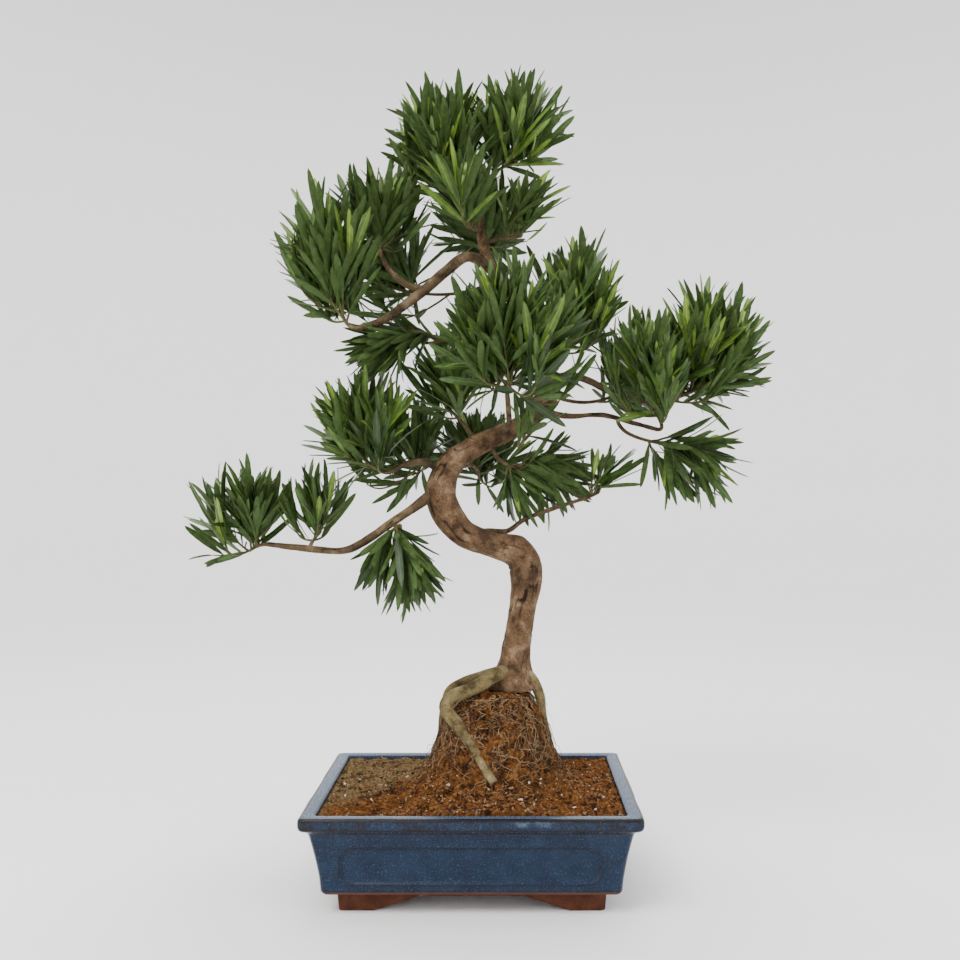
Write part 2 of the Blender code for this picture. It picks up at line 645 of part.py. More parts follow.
def make_mass(name, stems, limbs, material):
    """One mass of foliage, fused from its stem, twigs and leaves."""
    others = [stem for other, (stem, _) in stems.items() if other != name]
    fine = np.vstack([limbs] + [smooth_route(stem, 1.5) for stem in others])
    stem, first_way = stems[name]
    shoots = shoot_paths(name, stem, fine)
    tool = bpy.data.collections.new(name + "_pieces")
    bpy.context.scene.collection.children.link(tool)
    count = 0
    placed = []
    for index, shoot in enumerate(shoots):
        twig = limb_object(name + "_twig", shoot, 3)
        pieces = [twig]
        for corners in shoot_leaves(name, shoot, 1.3 * index, fine, placed):
            pieces.append(make_object(name + "_leaf", corners, LEAF_FACES))
            count += 1
        for piece in pieces:
            bpy.context.scene.collection.objects.unlink(piece)
            tool.objects.link(piece)
    mass = limb_object(name, stem, 4, material, first_way=first_way)
    apply_boolean(mass, tool, "UNION")
    keep_largest_body(mass)
    return mass, len(shoots), count


def main():
    clear_scene()
    glaze = make_material("blue_glaze", (0.045, 0.09, 0.19), 0.25)
    clay = make_material("terracotta", (0.22, 0.085, 0.05), 0.75)
    earth = make_material("bark_soil", (0.17, 0.075, 0.03), 0.95)
    bark = make_material("trunk_bark", (0.2, 0.135, 0.085), 0.8)
    root_bark = make_material("root_bark", (0.24, 0.18, 0.1), 0.8)
    twig_bark = make_material("bough_bark", (0.15, 0.095, 0.06), 0.8)
    foliage = make_material("leaf_green", (0.05, 0.13, 0.03), 0.45)

    make_pot(glaze, clay)
    soil = make_soil(earth)

    trunk_path = smooth_route(TRUNK, 10.0)
    trunk = trunk_object("trunk", trunk_path, bark)
    paths = {"trunk": trunk_path}
    for name, route in LIMBS.items():
        paths[name] = smooth_route(route, 11.0)

    for name in LIMBS:
        is_root = name.startswith("surface_root")
        limb = limb_object(name, paths[name], LIMB_SIDES, root_bark if is_root else twig_bark)
        carrier = GROWS_FROM[name]
        if carrier == "trunk":
            cutter = trunk_object("carrier_cutter", trunk_path, grown=GAP)
        else:
            cutter = limb_object("carrier_cutter", paths[carrier], LIMB_SIDES, grown=GAP)
        apply_boolean(limb, cutter, "DIFFERENCE")
        keep_largest_body(limb)
        finish_round(limb)
        if is_root:
            cutter = limb_object("root_cutter", paths[name], LIMB_SIDES, grown=GAP)
            apply_boolean(soil, cutter, "DIFFERENCE")
    keep_largest_body(soil)
    finish_round(soil, 60.0)
    finish_round(trunk)

    limbs = np.vstack([smooth_route(path, 2.0) for path in paths.values()])
    stems = {name: stem_path(name, paths) for name in MASSES}
    total = 0
    for name in MASSES:
        mass, shoots, leaves = make_mass(name, stems, limbs, foliage)
        total += leaves
        print("mass", name, "shoots", shoots, "leaves", leaves, "triangles", len(mass.data.polygons))
    print("leaves in all", total)


main()
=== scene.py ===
"""Buddhist pine bonsai in a blue glazed pot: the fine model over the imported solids.

Sizes are millimetres and become metres when a mesh is made. X runs along the pot, -Y is the
front and Z is up. The limbs and the masses of foliage follow the same named sizes and the same
growth rule as the solids, and the rule is carried on here to side twigs and true leaves.
"""
import math

import bpy
import numpy as np
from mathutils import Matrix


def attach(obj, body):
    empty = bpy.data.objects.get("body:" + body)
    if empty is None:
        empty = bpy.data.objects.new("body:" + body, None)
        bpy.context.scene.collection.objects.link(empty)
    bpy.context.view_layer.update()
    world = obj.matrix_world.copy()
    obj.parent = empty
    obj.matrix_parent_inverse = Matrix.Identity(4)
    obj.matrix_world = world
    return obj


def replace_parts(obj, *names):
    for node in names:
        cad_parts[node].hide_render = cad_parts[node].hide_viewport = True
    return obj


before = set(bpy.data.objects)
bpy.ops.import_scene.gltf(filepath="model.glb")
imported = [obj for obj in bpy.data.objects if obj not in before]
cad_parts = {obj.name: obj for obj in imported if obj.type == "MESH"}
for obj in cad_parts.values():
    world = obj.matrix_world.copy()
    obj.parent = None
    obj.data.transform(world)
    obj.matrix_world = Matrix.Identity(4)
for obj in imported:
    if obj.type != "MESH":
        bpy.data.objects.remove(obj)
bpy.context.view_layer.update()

MM = 0.001
GOLDEN_ANGLE = math.radians(137.508)

# Camera: where it stands in metres, its lens and how far the picture is off its axis
CAMERA_PLACE = (0.0237, -0.7517, 0.290)
CAMERA_LENS = 38.06
CAMERA_SHIFT = (-0.0278, 0.0046)

# Studio, in metres: radius and height of the floor that turns into a wall, then the lights as
# name, place, size, power and colour
STUDIO_PROFILE = [(0.6, 0.0), (1.2, 0.0), (1.6, 0.0), (1.85, 0.03), (2.1, 0.12), (2.3, 0.3),
                  (2.42, 0.55), (2.5, 1.0), (2.5, 2.2), (2.5, 3.6)]
STUDIO_COLUMNS = 96
LIGHTS = [("key_light", (-0.9, -1.1, 2.0), 1.3, 54.0, (1.0, 0.985, 0.96)),
          ("fill_light", (1.5, -0.9, 1.5), 1.8, 15.0, (0.96, 0.98, 1.0)),
          ("top_light", (0.1, 0.5, 2.3), 1.6, 52.0, (1.0, 1.0, 1.0))]
LIGHTS_AIM = (0.0, 0.0, 0.25)
AIR_STRENGTH = 0.6

# Pot. Its profile's points are (height, setback from the rim's outline).
RIM_LENGTH = 230.0
RIM_WIDTH = 170.0
RIM_HEIGHT = 69.4
RIM_CORNER = 4.0
POT_UNDERSIDE = 14.5
POT_FLOOR = 22.0
POT_UNDER = [(POT_UNDERSIDE, 60.0), (POT_UNDERSIDE, 16.5)]
POT_OUTER = [(POT_UNDERSIDE, 14.8), (15.6, 13.9), (16.9, 13.3), (20.0, 13.0), (27.0, 12.3),
             (38.0, 10.5), (50.0, 8.0), (57.0, 6.2), (59.5, 4.0), (61.0, 1.2), (62.5, 0.3),
             (65.0, 0.0), (67.6, 0.1), (69.0, 0.8), (RIM_HEIGHT, 2.2)]
RIM_TOP = [(RIM_HEIGHT, 2.2), (RIM_HEIGHT + 0.1, 5.5), (RIM_HEIGHT - 0.1, 8.4), (68.9, 9.8), (67.8, 10.7)]
POT_INNER = [(62.0, 11.2), (POT_FLOOR, 20.5), (POT_FLOOR, 60.0)]
PROFILE_STEP = 0.8
PANEL_BOTTOM = 21.5
PANEL_TOP = 48.0
PANEL_DEPTH = 1.6
PANEL_BEVEL = 2.4
PANEL_END_GAP = 27.0
PANEL_CORNER = 10.0
# Lines round the pot where the glaze is broken: height, width and strength
WORN_LINES = [(68.9, 0.8, 0.9), (61.6, 1.0, 0.62), (58.2, 1.0, 0.7), (17.4, 0.9, 0.5)]

# Soil and root ball
SOIL_LEVEL = 66.0
BALL_CENTRE = (15.0, -4.0)
BALL_TOP = 139.7
BALL_FRONT_STRETCH = 1.15
BALL_PROFILE = [(0.0, BALL_TOP), (18.5, BALL_TOP), (25.0, 135.5), (31.0, 127.0), (36.5, 116.0),
                (40.0, 103.0), (44.0, 92.0), (50.0, 80.0), (60.0, 71.5), (75.0, 67.5),
                (200.0, SOIL_LEVEL)]
BALL_SIDE = 56.0  # reach of the ball's steep side
SOIL_INSET = 11.35  # from the rim's outside to the soil's edge
SOIL_DEPTH = 5.0
# Kinds of crumb and of fine root: name, colour, roughness and share of them all
CRUMB_KINDS = [("crumb_dark", (0.03, 0.013, 0.006), 0.95, 0.34),
               ("crumb_red", (0.12, 0.045, 0.015), 0.95, 0.36),
               ("crumb_tan", (0.22, 0.12, 0.05), 0.95, 0.22),
               ("crumb_grey", (0.2, 0.17, 0.12), 0.95, 0.06),
               ("crumb_pale", (0.6, 0.57, 0.5), 0.9, 0.02)]
FIBRE_KINDS = [("fibre_tan", (0.24, 0.16, 0.085), 0.8, 0.4),
               ("fibre_red", (0.12, 0.055, 0.025), 0.8, 0.38),
               ("fibre_dark", (0.04, 0.022, 0.012), 0.85, 0.22)]

# Limbs: the points that each one runs through (x, y, z) and its radius there
TRUNK_FOOT = 140.0
TRUNK = [(28, -1, TRUNK_FOOT, 17.5), (30.5, 0, 160, 11.4), (34, -1, 190, 10.1), (38.5, -4, 222, 11.3),
         (33, -6, 239, 11.0), (13, -9, 246, 9.6), (-10, -13, 256, 10.0), (-24, -15, 280, 11.3),
         (-18, -9, 304, 9.3), (2, -2, 319, 7.7), (38, 10, 337, 7.3), (55, 18, 359, 8.2),
         (51, 27, 390, 5.8), (33, 27, 424, 4.8), (13, 15, 452, 4.2), (4, 5, 480, 3.1), (6, 0, 506, 2.0)]
# Knots on the trunk: height, bearing in degrees round it, radius and rise
TRUNK_KNOTS = [(228, 20, 7, 1.6), (241, 200, 6, 1.2), (262, 120, 6, 1.5), (290, 250, 7, 1.6),
               (352, 60, 7, 2.2), (364, 150, 6, 1.8)]
FLARE_TOWARDS = (5, 150, 222, 290)
FLARE_GAIN = 0.22
FLARE_HEIGHT = 18.0
ROOTS = {
    "surface_root_front": [(26, -4, 153, 5.4), (14, -18, 151, 5.2), (0, -26, 144, 4.7),
                           (-15, -30, 139, 4.6), (-19.5, -31, 131, 4.8), (-12, -34, 121, 4.6),
                           (-2, -42, 110, 4.2), (7, -51, 97, 3.6), (15, -58, 86, 2.8)],
    "surface_root_right": [(32, -2, 153, 5.2), (42, -5, 147, 4.4), (48, -6, 135, 3.7),
                           (50.5, -6, 121, 2.9), (54, -2, 107, 2.2), (60, 4, 88, 1.4)],
    "surface_root_back": [(24, 2, 152, 4.6), (8, 12, 147, 3.4), (-9, 15, 141, 3.0), (-20, 14, 134, 2.7),
                          (-24, 12, 120, 2.4), (-27, 12, 103, 2.0), (-34, 14, 84, 1.3)],
}
BOUGHS = {
    "upper_left_bough": [(13, 15, 452, 4.2), (-5, 2, 459, 4.0), (-21, -8, 446, 3.9),
                         (-37, -16, 430, 3.6), (-63, -28, 408, 3.0), (-80, -32, 401, 2.4)],
    "upper_left_spur": [(-36, -16, 431, 2.8), (-48, -18, 434, 2.4), (-60, -16, 444, 2.1),
                        (-68, -11, 457, 1.7)],
    "right_bough": [(54, 18, 367, 4.4), (70, 14, 372, 3.2), (84, 8, 368, 2.8), (104, -1, 357, 2.4),
                    (124, -6, 351, 2.0)],
    "right_low_bough": [(50, 14, 345, 3.0), (70, 6, 341, 2.1), (94, -5, 341, 1.8), (115, -12, 335, 1.6),
                        (133, -13, 330, 1.4)],
    "far_left_bough": [(-24, -14, 288, 4.6), (-42, -23, 274, 3.4), (-58, -27, 263, 3.1),
                       (-80, -25, 248, 2.8), (-97, -19, 242, 2.6), (-131, -9, 244, 2.2),
                       (-152, -5, 246, 1.9)],
    "mid_left_bough": [(-20, -10, 298, 3.6), (-35, -18, 306, 2.5), (-48, -20, 305, 2.1),
                       (-60, -18, 299, 1.7)],
    "lower_right_bough": [(-3, -4, 254, 3.0), (10, 5, 255, 2.5), (24, 13, 255, 2.2), (38, 14, 264, 2.0),
                          (56, 10, 271, 1.7), (80, 5, 279, 1.4)],
    "front_bough": [(20, 3, 328, 3.6), (25, -18, 333, 2.4), (25, -40, 342, 2.0), (24, -58, 353, 1.6)],
    "back_bough": [(53, 22, 372, 4.0), (50, 40, 377, 2.8), (43, 57, 383, 2.3), (34, 70, 389, 1.8)],
    "low_back_bough": [(-20, -12, 294, 4.0), (-18, 8, 300, 2.6), (-11, 28, 304, 2.2), (-4, 46, 305, 1.7)],
}

# Masses of foliage: carrier, height at which the stem leaves the trunk (0 at the limb's tip, 1 at
# the limb's nearest point), middle and half sizes of the space, lean of the shoots, their number
MASSES = {
    "apex_right": ("trunk", 0, (34, -2, 550), (38, 38, 46), (0.25, 0, 1), 5),
    "apex_left": ("trunk", 492, (-22, -6, 545), (42, 36, 45), (-0.35, -0.1, 1), 5),
    "crown_right": ("trunk", 468, (46, -12, 482), (30, 40, 34), (0.8, -0.3, 0.6), 3),
    "crown_front": ("trunk", 476, (-8, -48, 486), (42, 34, 40), (-0.2, -0.7, 0.8), 4),
    "crown_back": ("trunk", 458, (8, 62, 500), (46, 36, 52), (0, 0.8, 0.9), 5),
    "left_top": ("upper_left_spur", 0, (-70, 4, 490), (36, 38, 48), (-0.2, 0.1, 1), 4),
    "left_outer": ("upper_left_bough", 0, (-103, -24, 454), (36, 38, 64), (-0.4, -0.1, 1), 5),
    "left_back": ("trunk", 448, (-66, 56, 460), (46, 34, 50), (-0.5, 0.6, 0.8), 4),
    "left_under": ("trunk", 420, (-52, -14, 384), (42, 36, 34), (-0.7, -0.3, -0.5), 3),
    "centre_front": ("front_bough", 0, (29, -82, 388), (50, 38, 66), (0.1, -0.25, 1), 6),
    "right_upper": ("trunk", 384, (80, -4, 424), (30, 36, 56), (0.35, -0.1, 1), 4),
    "right_upper_back": ("trunk", 402, (66, 62, 430), (42, 34, 52), (0.4, 0.6, 0.9), 4),
    "centre_left": ("trunk", 318, (-24, 2, 366), (34, 36, 38), (-0.2, 0, 1), 3),
    "centre_back": ("back_bough", 0, (12, 86, 388), (50, 36, 52), (-0.1, 0.5, 1), 5),
    "right_inner": ("right_low_bough", 0, (122, -32, 372), (34, 32, 46), (-0.1, -0.3, 1), 4),
    "right_outer": ("right_bough", 0, (173, -2, 390), (42, 42, 58), (0.45, 0, 1), 6),
    "right_back": ("trunk", 360, (130, 58, 384), (44, 34, 48), (0.6, 0.6, 0.9), 4),
    "right_hanging": ("right_low_bough", 1, (160, -14, 306), (40, 32, 36), (0.6, -0.2, -0.6), 3),
    "lower_right": ("lower_right_bough", 0, (106, 2, 292), (34, 30, 28), (0.7, -0.2, 0.5), 3),
    "low_right": ("trunk", 322, (50, 24, 294), (42, 36, 38), (0.5, 0.4, -0.3), 4),
    "low_front": ("trunk", 336, (38, -44, 320), (42, 32, 32), (0.3, -0.9, 0.2), 3),
    "low_back": ("low_back_bough", 0, (4, 82, 308), (48, 36, 44), (0.1, 0.8, 0.6), 5),
    "mid_left": ("mid_left_bough", 0, (-80, -16, 326), (42, 38, 50), (-0.4, -0.1, 1), 5),
    "mid_left_back": ("trunk", 306, (-62, 52, 318), (44, 34, 44), (-0.6, 0.6, 0.7), 4),
    "left_hanging": ("far_left_bough", 1, (-50, -32, 240), (34, 32, 44), (0.1, -0.2, -1), 3),
    "far_left_tip": ("far_left_bough", 0, (-173, -4, 264), (38, 38, 50), (-0.4, 0, 1), 5),
    "far_left_inner": ("far_left_bough", 1, (-116, -8, 272), (28, 32, 38), (-0.1, 0, 1), 3),
}
LEAF_REACH = 34.0
TWIG_RADIUS = 1.0
STEM_RADIUS = 1.6
LEAF_LENGTH = 44.0
LEAF_WIDTH = 4.9
# Points along a stem and along a shoot or side twig
STEM_POINTS = 14
SHOOT_POINTS = 12
SHOOT_GAIN = 2.1
SHOOT_TILT = math.radians(88.0)
LOW_TIER_SHARE = 0.4
# Half width of a leaf, as a share of its widest, at stations from its root to its tip
LEAF_STATIONS = np.array([0.0, 0.08, 0.22, 0.42, 0.64, 0.82, 0.94, 1.0])
LEAF_OUTLINE = np.array([0.0, 0.36, 0.8, 0.98, 1.0, 0.84, 0.46, 0.0])
# Leaf colours: dark, mid and light stand partly for painted shade and light, dealt by a shoot's height
# and hang; young is for new leaves
LEAF_TONES = {
    "leaf_dark": (0.014, 0.033, 0.006),
    "leaf_mid": (0.03, 0.066, 0.009),
    "leaf_light": (0.062, 0.118, 0.013),
    "leaf_young": (0.12, 0.2, 0.025),
}
YOUNG_TONE = 3

# What the columns of a leaf's row of numbers hold
ROOT, WAY, FACE = slice(0, 3), slice(3, 6), slice(6, 9)
LENGTH, WIDTH, YOUNG, DROOP = 9, 10, 11, 12


def unit(vector):
    """Same direction, length one, along the last axis."""
    vector = np.asarray(vector, float)
    return vector / np.maximum(np.linalg.norm(vector, axis=-1, keepdims=True), 1e-9)


def eased(share):
    """Share from 0 to 1 made to start and end gently: 3 share² - 2 share³."""
    return share * share * (3 - 2 * share)


def bell(value, middle, width, power=2):
    """1 where the value is the middle, falling as e to the -(distance / width) ** power."""
    return np.exp(-((value - middle) / width) ** power)


def lattice_value(cell, seed):
    """A fixed pseudo-random number from 0 to 1 for each whole-number cell."""
    mixed = (cell[..., 0] * 73856093) ^ (cell[..., 1] * 19349663) ^ (cell[..., 2] * 83492791)
    mixed = mixed ^ (seed * 40503 + 977)
    mixed = (mixed ^ (mixed >> 13)) * 1274126177 & 0xFFFFFFFF
    mixed = (mixed ^ (mixed >> 15)) * 668265263 & 0xFFFFFFFF
    return ((mixed >> 8) & 0xFFFF) / 65535.0


def noise(points, size, seed):
    """Smooth noise from -1 to 1: a value at each lattice corner, blended between the corners."""
    spot = np.asarray(points, float) / size
    cell = np.floor(spot).astype(np.int64)
    part = eased(spot - cell)
    total = np.zeros(spot.shape[:-1])
    for corner in np.ndindex(2, 2, 2):
        weight = np.prod(np.where(corner, part, 1 - part), axis=-1)
        total += weight * lattice_value(cell + np.array(corner), seed)
    return total * 2 - 1


def rough_noise(points, size, octaves, seed):
    """Noise whose finer layers each have half the size and half the strength."""
    total = 0.0
    for octave in range(octaves):
        total = total + noise(points, size / 2 ** octave, seed + octave) / 2 ** octave
    return total


def make_piece(name, points, faces, materials, face_material=None, values=None, sharp=None,
               smooth=True):
    """Object from an array of points (mm) and arrays of faces, riding on the plant's body.

    faces is a list of arrays, each of faces with the same number of corners. values maps the
    name of a point attribute to its numbers; sharp marks pairs of points whose edge is sharp.
    """
    points = np.asarray(points, np.float64).reshape(-1, 3) * MM
    faces = [np.asarray(group, np.int64) for group in faces if len(group)]
    corners = np.concatenate([group.ravel() for group in faces])
    sizes = np.concatenate([np.full(len(group), group.shape[1]) for group in faces])
    starts = np.concatenate([[0], np.cumsum(sizes)[:-1]])
    mesh = bpy.data.meshes.new(name)
    mesh.vertices.add(len(points))
    mesh.vertices.foreach_set("co", points.astype(np.float32).ravel())
    mesh.loops.add(len(corners))
    mesh.loops.foreach_set("vertex_index", corners.astype(np.int32))
    mesh.polygons.add(len(sizes))
    mesh.polygons.foreach_set("loop_start", starts.astype(np.int32))
    for material in materials:
        mesh.materials.append(material)
    if face_material is not None:
        mesh.polygons.foreach_set("material_index", np.asarray(face_material, np.int32))
    mesh.update(calc_edges=True)
    mesh.validate()
    mesh.polygons.foreach_set("use_smooth", np.full(len(mesh.polygons), smooth))
    for label, numbers in (values or {}).items():
        layer = mesh.attributes.new(label, "FLOAT", "POINT")
        layer.data.foreach_set("value", np.asarray(numbers, np.float32).ravel())
    if sharp is not None:
        ends = np.empty(len(mesh.edges) * 2, np.int32)
        mesh.edges.foreach_get("vertices", ends)
        ends = ends.reshape(-1, 2)
        layer = mesh.attributes.new("sharp_edge", "BOOLEAN", "EDGE")
        layer.data.foreach_set("value", sharp[ends[:, 0]] & sharp[ends[:, 1]])
    item = bpy.data.objects.new(name, mesh)
    bpy.context.scene.collection.objects.link(item)
    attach(item, "root")
    return item


def grid_faces(rows, columns, first=0):
    """Quads of a grid of points, row after row, closed round each row."""
    row, column = np.meshgrid(np.arange(rows - 1), np.arange(columns), indexing="ij")
    a = first + row * columns + column
    b = first + row * columns + (column + 1) % columns
    return np.stack([a, b, b + columns, a + columns], axis=-1).reshape(-1, 4)


def fan_faces(first, count, middle, turned=False):
    """Triangles from a closed ring of points to one middle point; turned ones face the other way."""
    ring = first + np.arange(count)
    following = first + (np.arange(count) + 1) % count
    ends = (following, ring) if turned else (ring, following)
    return np.stack([*ends, np.full(count, middle)], axis=-1)


def copied_faces(faces, per, count):
    """The same faces for each of `count` copies that have `per` points each."""
    return (faces[None] + per * np.arange(count)[:, None, None]).reshape(-1, faces.shape[1])


def smooth_route(route, step):
    """Points about `step` apart on a smooth curve through the route's points, radius included."""
    route = np.asarray(route, float)
    before = np.vstack([2 * route[0] - route[1], route, 2 * route[-1] - route[-2]])
    found = []
    for index in range(len(route) - 1):
        p0, p1, p2, p3 = before[index:index + 4]
        count = max(2, round(np.linalg.norm((p2 - p1)[:3]) / step))
        t = (np.arange(count) / count)[:, None]
        found.append(0.5 * (2 * p1 + (p2 - p0) * t + (2 * p0 - 5 * p1 + 4 * p2 - p3) * t * t
                            + (3 * p1 - p0 - 3 * p2 + p3) * t ** 3))
    found.append(route[-1:])
    return np.vstack(found)


def ring_frames(centres, smoothing=0):
    """Tangent and two side directions at each centre, carried along without twist."""
    tangents = np.gradient(centres, axis=0)
    for _ in range(smoothing):
        inner = tangents[:-2] + 2 * tangents[1:-1] + tangents[2:]
        tangents[1:-1] = inner / 4
    tangents = unit(tangents)
    side = np.cross(tangents[0], (0.0, 1.0, 0.0) if abs(tangents[0][1]) < 0.9 else (1.0, 0.0, 0.0))
    sides = []
    for tangent in tangents:
        side = unit(side - tangent * np.dot(side, tangent))
        sides.append(side)
    sides = np.array(sides)
    return tangents, sides, np.cross(tangents, sides)


# Materials

def new_material(name, colour, roughness, specular=0.15):
    """Principled material; returns it with its node tree and shader."""
    material = bpy.data.materials.new(name)
    material.use_nodes = True
    tree = material.node_tree
    shader = tree.nodes["Principled BSDF"]
    shader.inputs["Base Color"].default_value = (*colour, 1.0)
    shader.inputs["Roughness"].default_value = roughness
    shader.inputs["Specular IOR Level"].default_value = specular
    return material, tree, shader


def place_node(tree):
    """The surface's own place, in metres."""
    return tree.nodes.new("ShaderNodeTexCoord").outputs["Object"]


def noise_node(tree, size, detail=3.0, rough=0.55):
    """Noise with grains of the given size in millimetres, from 0 to 1."""
    node = tree.nodes.new("ShaderNodeTexNoise")
    node.inputs["Scale"].default_value = 1.0 / (size * MM)
    node.inputs["Detail"].default_value = detail
    node.inputs["Roughness"].default_value = rough
    tree.links.new(place_node(tree), node.inputs["Vector"])
    return node.outputs["Fac"]


def shade(colour, factor):
    """Colour made darker or lighter by a factor."""
    return tuple(min(1.0, c * factor) for c in colour)


def ramp_node(tree, value, stops):
    """Colour ramp that eases between its stops, which are (place, colour or grey number)."""
    node = tree.nodes.new("ShaderNodeValToRGB")
    ramp = node.color_ramp
    ramp.interpolation = "EASE"
    while len(ramp.elements) < len(stops):
        ramp.elements.new(0.5)
    for element, (place, colour) in zip(ramp.elements, stops):
        colour = (colour,) * 3 if isinstance(colour, (int, float)) else colour
        element.position = place
        element.color = (*colour, 1.0)
    tree.links.new(value, node.inputs["Fac"])
    return node.outputs["Color"]


def mix_node(tree, share, first, second, kind="MIX"):
    """Two colours mixed; each may be a colour or a socket."""
    node = tree.nodes.new("ShaderNodeMix")
    node.data_type = "RGBA"
    node.blend_type = kind
    for socket, value in ((node.inputs[0], share), (node.inputs[6], first), (node.inputs[7], second)):
        if isinstance(value, bpy.types.NodeSocket):
            tree.links.new(value, socket)
        elif isinstance(value, (int, float)):
            socket.default_value = value
        else:
            socket.default_value = (*value, 1.0)
    return node.outputs[2]


def math_node(tree, kind, first, second=0.0, clamp=False):
    """One sum on two values; each may be a number or a socket."""
    node = tree.nodes.new("ShaderNodeMath")
    node.operation = kind
    node.use_clamp = clamp
    for socket, value in zip(node.inputs, (first, second)):
        if isinstance(value, bpy.types.NodeSocket):
            tree.links.new(value, socket)
        else:
            socket.default_value = value
    return node.outputs[0]


def scaled(tree, value, factor):
    """A value times a number."""
    return math_node(tree, "MULTIPLY", value, factor)


def value_node(tree, label):
    """A point attribute of the piece."""
    node = tree.nodes.new("ShaderNodeAttribute")
    node.attribute_name = label
    return node.outputs["Fac"]


def grain_ramp(tree, size, stops, detail=3.0):
    """Noise with grains of the given size, turned to colours or greys by a ramp."""
    return ramp_node(tree, noise_node(tree, size, detail), stops)


def grain_bump(tree, shader, size, strength, distance, detail=4.0, rough=0.55):
    """Bump from noise with grains of the given size; distance in millimetres."""
    node = tree.nodes.new("ShaderNodeBump")
    node.inputs["Strength"].default_value = strength
    node.inputs["Distance"].default_value = distance * MM
    tree.links.new(noise_node(tree, size, detail, rough), node.inputs["Height"])
    tree.links.new(node.outputs["Normal"], shader.inputs["Normal"])


def glaze_material():
    """Navy glaze with fine lighter flecks: attribute `worn_and_shade` breaks it to dark brown along edges
    and, as painted shade, round the sunk panels; `pale` lightens it, as painted light on the rim's
    top, and `bare` leaves the clay."""
    material, tree, shader = new_material("blue_glaze", (0.02, 0.034, 0.06), 0.3, specular=0.2)
    base = grain_ramp(tree, 14.0, [(0.3, (0.004, 0.010, 0.026)), (0.7, (0.008, 0.019, 0.044))], 4.0)
    flecks = grain_ramp(tree, 0.9, [(0.52, 0.0), (0.7, 1.0)], 2.0)
    blue = mix_node(tree, scaled(tree, flecks, 0.55), base, (0.028, 0.056, 0.11))
    dark_flecks = grain_ramp(tree, 1.6, [(0.3, 1.0), (0.42, 0.0)])
    blue = mix_node(tree, scaled(tree, dark_flecks, 0.6), blue, (0.008, 0.013, 0.024))
    pale = mix_node(tree, flecks, (0.055, 0.09, 0.15), (0.13, 0.17, 0.24))
    # `pale` brings the paler blue: painted light on the rim's top, and a paler patch on the lip's front
    blue = mix_node(tree, value_node(tree, "pale"), blue, pale)
    ragged = scaled(tree, noise_node(tree, 2.2, 4.0), 0.9)
    # `worn_and_shade` darkens broken glaze on edges and lines, and is painted shade round the sunk panels
    edge = math_node(tree, "ADD", value_node(tree, "worn_and_shade"), ragged)
    edge = math_node(tree, "SUBTRACT", edge, 0.62, clamp=True)
    edge = ramp_node(tree, edge, [(0.08, 0.0), (0.42, 1.0)])
    colour = mix_node(tree, edge, blue, (0.009, 0.006, 0.006))
    bare = ramp_node(tree, value_node(tree, "bare"), [(0.4, 0.0), (0.6, 1.0)])
    colour = mix_node(tree, bare, colour, (0.075, 0.03, 0.018))
    tree.links.new(colour, shader.inputs["Base Color"])
    dull = math_node(tree, "ADD", bare, scaled(tree, flecks, 0.15))
    tree.links.new(ramp_node(tree, dull, [(0.0, 0.26), (1.0, 0.75)]), shader.inputs["Roughness"])
    grain_bump(tree, shader, 3.0, 0.25, 0.5)
    return material


def terracotta_material():
    """Fired clay, mottled, with fine sandy grain."""
    material, tree, shader = new_material("terracotta", (0.07, 0.025, 0.015), 0.78, specular=0.1)
    colour = grain_ramp(tree, 9.0, [(0.3, (0.055, 0.019, 0.011)), (0.7, (0.095, 0.035, 0.02))], 4.0)
    grain = grain_ramp(tree, 0.7, [(0.35, 0.7), (0.65, 1.15)], 2.0)
    tree.links.new(mix_node(tree, 1.0, colour, grain, "MULTIPLY"), shader.inputs["Base Color"])
    grain_bump(tree, shader, 0.8, 0.35, 0.3, detail=3.0)
    return material


def bark_material(name, dark, mid, light, grain):
    """Bark: clouds of three browns with fine specks, and painted shade, a near-black brown, where the
    attribute `hollow_shade` marks the relief's cracks and low streaks."""
    material, tree, shader = new_material(name, mid, 0.82)
    colour = grain_ramp(tree, 11.0, [(0.32, dark), (0.5, mid), (0.68, light)], 4.0)
    speck = grain_ramp(tree, grain * 0.4, [(0.3, 0.55), (0.5, 1.0), (0.7, 1.25)])
    colour = mix_node(tree, 1.0, colour, speck, "MULTIPLY")
    # painted shade in the relief's cracks and low streaks
    hollow_shade = ramp_node(tree, value_node(tree, "hollow_shade"), [(0.3, 0.0), (0.8, 1.0)])
    colour = mix_node(tree, hollow_shade, colour, shade(dark, 0.28))
    tree.links.new(colour, shader.inputs["Base Color"])
    grain_bump(tree, shader, grain * 0.3, 0.5, 0.4, rough=0.65)
    return material


def leaf_material(name, colour):
    """Leaf top: slight blotches, and a paler line along the midrib, where `across` is zero."""
    material, tree, shader = new_material(name, colour, 0.42, specular=0.3)
    base = grain_ramp(tree, 6.0, [(0.3, shade(colour, 0.72)), (0.7, shade(colour, 1.32))], 2.0)
    rib = ramp_node(tree, value_node(tree, "across"), [(0.05, 1.0), (0.22, 0.0)])
    pale = (colour[0] * 2.6 + 0.02, colour[1] * 2.0 + 0.02, colour[2] * 1.8 + 0.01)
    colour = mix_node(tree, scaled(tree, rib, 0.6), base, pale)
    tree.links.new(colour, shader.inputs["Base Color"])
    return material


